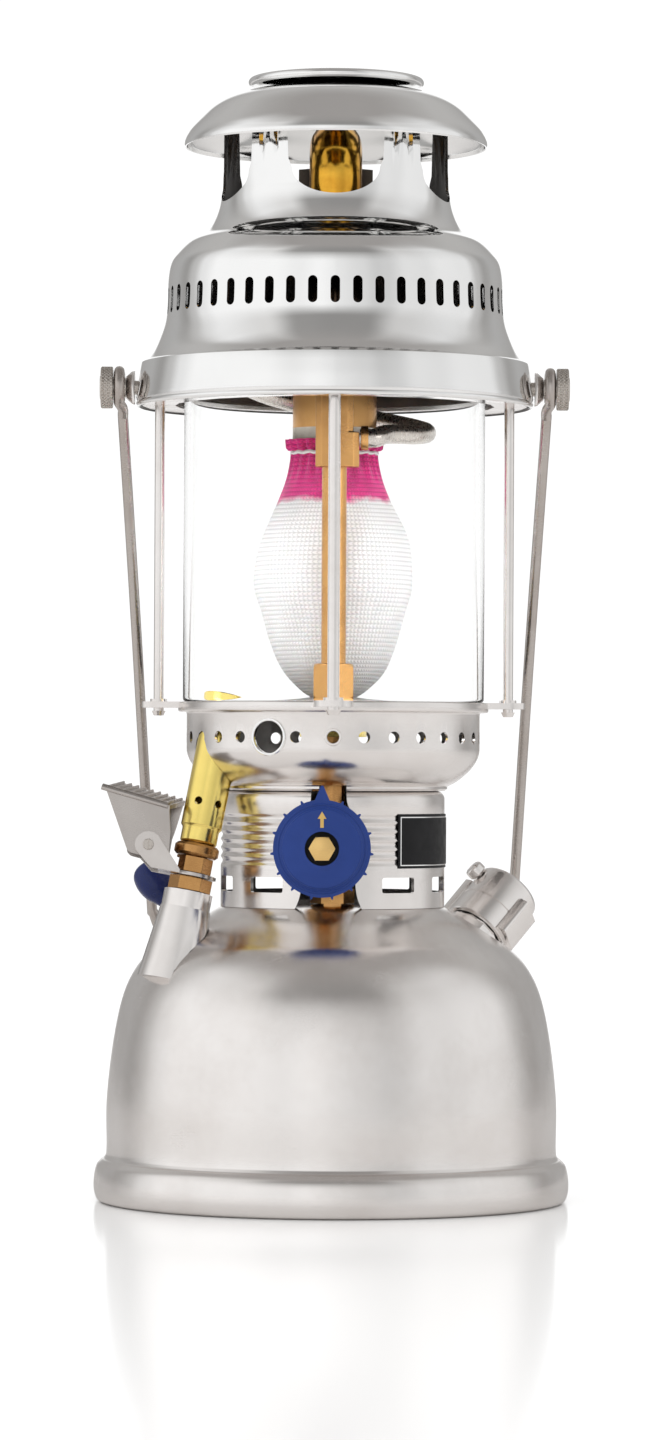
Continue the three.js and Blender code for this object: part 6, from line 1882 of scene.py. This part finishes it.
BAIL_WIDTH = 77.2
BAIL_FOOT = 67.2
BAIL_LENGTH = 228
BAIL_CORNER = 34
EYE = 5.9
HEAD = (7.5, 79.5, 83.8)
KNURL_ROWS = 18
KNURL_DEPTH = 0.34
SHANK_LINE = ((0, 63.6), (2.1, 63.6), (2.5, 64), (2.5, 74.9), (3.6, 74.9))


def bail_piece(looks, wire):
    """The wire handle: an eye, a leg and a corner on each side, and a straight grip."""
    low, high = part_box("bail_handle")
    lean = math.atan2(high.y / MM - wire, PIVOT.z - low.z / MM - wire)
    eye = []
    for i in range(25):
        turn = math.radians(24 + 300 * i / 24)
        eye.append((BAIL_WIDTH, EYE * math.sin(turn), -EYE * math.cos(turn)))
    shift = BAIL_WIDTH - 1.2
    leg_end = BAIL_LENGTH - BAIL_CORNER
    half = [*eye, (shift, -1.6, -EYE - 1.6), (shift, -0.4, -EYE - 5), (shift - 0.3, 0, -EYE - 12)]
    half += [((shift + BAIL_FOOT) / 2, 0, -leg_end / 2), (BAIL_FOOT, 0, -leg_end)]
    for i in range(1, 9):
        angle = QUARTER * i / 9
        out = BAIL_FOOT - BAIL_CORNER * (1 - math.cos(angle))
        half.append((out, 0, -leg_end - BAIL_CORNER * math.sin(angle)))
    half.append((BAIL_FOOT - BAIL_CORNER, 0, -BAIL_LENGTH))
    path = [*half, (0, 0, -BAIL_LENGTH), *[(-x, y, z) for x, y, z in reversed(half)]]
    place = Matrix.Translation(PIVOT) @ Matrix.Rotation(lean, 4, "X")
    lay(
        "bail_finished", piped(flowing(path, 4), wire, 20), looks["wire"], "bail", place,
        replaces=["bail_handle"],
    )


def knurled_head(radius, start, end, knurls):
    """A round head whose side is cut with crossing fine grooves."""
    rows = KNURL_ROWS
    side = [(radius, start + 0.35 + (end - start - 0.7) * i / rows) for i in range(rows + 1)]
    crown = [(radius - 0.35, end), (radius * 0.6, end), (radius * 0.55, end + 0.35), (0, end + 0.4)]
    shape = spun([(0, start), (radius - 0.35, start), *side, *crown], 6 * knurls)
    for vert in shape.verts:
        if vert.co.xy.length > radius - 0.01:
            turn = math.atan2(vert.co.y, vert.co.x) * knurls / 2
            climb = HALF * (vert.co.z - start) / (end - start) * 3.2
            cut = min(abs(math.sin(turn + climb)), abs(math.sin(turn - climb)))
            vert.co.xy *= 1 - KNURL_DEPTH * (1 - min(cut / 0.45, 1)) / radius
    return shape


class LANTERN_OT_bail(bpy.types.Operator):
    """Wire bail with its eyes, the knurled screws and the domed washers"""
    bl_idname = "lantern.bail"
    bl_label = "Bail"

    def execute(self, context):
        sizes = context.scene.lantern_bail
        bail_piece(LOOKS, sizes.wire / MM)
        radius, start, end = HEAD
        for side, turn in (("right", 0), ("left", HALF)):
            side_on = Matrix.Translation(PIVOT) @ Matrix.Rotation(turn, 4, "Z")
            place = side_on @ Matrix.Rotation(QUARTER, 4, "Y")
            shank = spun([*SHANK_LINE, (3.6, start + 0.1), (0, start + 0.1)], 40)
            shape = joined(shank, knurled_head(radius, start, end, sizes.knurls))
            screw = f"bail_screw_{side}"
            lay(
                f"{screw}_finished", shape, LOOKS["steel"], f"screw_{side}", place,
                replaces=[screw],
            )
            turned_again(
                f"bail_washer_{side}", LOOKS["nickel"], "lantern", place, bevel=0.2,
            )
        return {"FINISHED"}


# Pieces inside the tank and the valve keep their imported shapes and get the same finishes

HIDDEN = {
    "needle_rod": "steel", "dip_tube": "brass", "foot_valve": "brass", "pump_spring": "steel",
}


class LANTERN_OT_hidden(bpy.types.Operator):
    """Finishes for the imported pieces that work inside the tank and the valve"""
    bl_idname = "lantern.hidden"
    bl_label = "Inner pieces"

    def execute(self, context):
        for node, look in HIDDEN.items():
            NODES[node].material_slots[0].material = LOOKS[look]
        return {"FINISHED"}


STEPS = (
    LANTERN_OT_stage, LANTERN_OT_finishes, LANTERN_OT_tank, LANTERN_OT_frame, LANTERN_OT_hood,
    LANTERN_OT_burner, LANTERN_OT_mantle, LANTERN_OT_wheel, LANTERN_OT_torch, LANTERN_OT_pump,
    LANTERN_OT_filler, LANTERN_OT_bail, LANTERN_OT_hidden,
)


SETTINGS = {
    "lantern_stage": StageSettings, "lantern_finish": FinishSettings, "lantern_tank": TankSettings,
    "lantern_hood": HoodSettings, "lantern_wheel": WheelSettings, "lantern_bail": BailSettings,
    "lantern_mantle": MantleSettings,
}


class LANTERN_PT_panel(bpy.types.Panel):
    """Every step of the lantern and the sizes it reads"""
    bl_idname = "LANTERN_PT_panel"
    bl_label = "Pressure lantern"
    bl_space_type = "VIEW_3D"
    bl_region_type = "UI"
    bl_category = "Lantern"

    def draw(self, context):
        for name, group in SETTINGS.items():
            box = self.layout.box()
            for prop in group.__annotations__:
                box.prop(getattr(context.scene, name), prop)
        for step in STEPS:
            self.layout.operator(step.bl_idname)


CLASSES = (*SETTINGS.values(), *STEPS, LANTERN_PT_panel)


def register():
    for kind in CLASSES:
        bpy.utils.register_class(kind)
    for name, group in SETTINGS.items():
        setattr(bpy.types.Scene, name, bpy.props.PointerProperty(type=group))


def unregister():
    for name in SETTINGS:
        delattr(bpy.types.Scene, name)
    for kind in reversed(CLASSES):
        bpy.utils.unregister_class(kind)


def main():
    register()
    for step in STEPS:
        family, name = step.bl_idname.split(".")
        getattr(getattr(bpy.ops, family), name)()


if __name__ == "__main__":
    main()
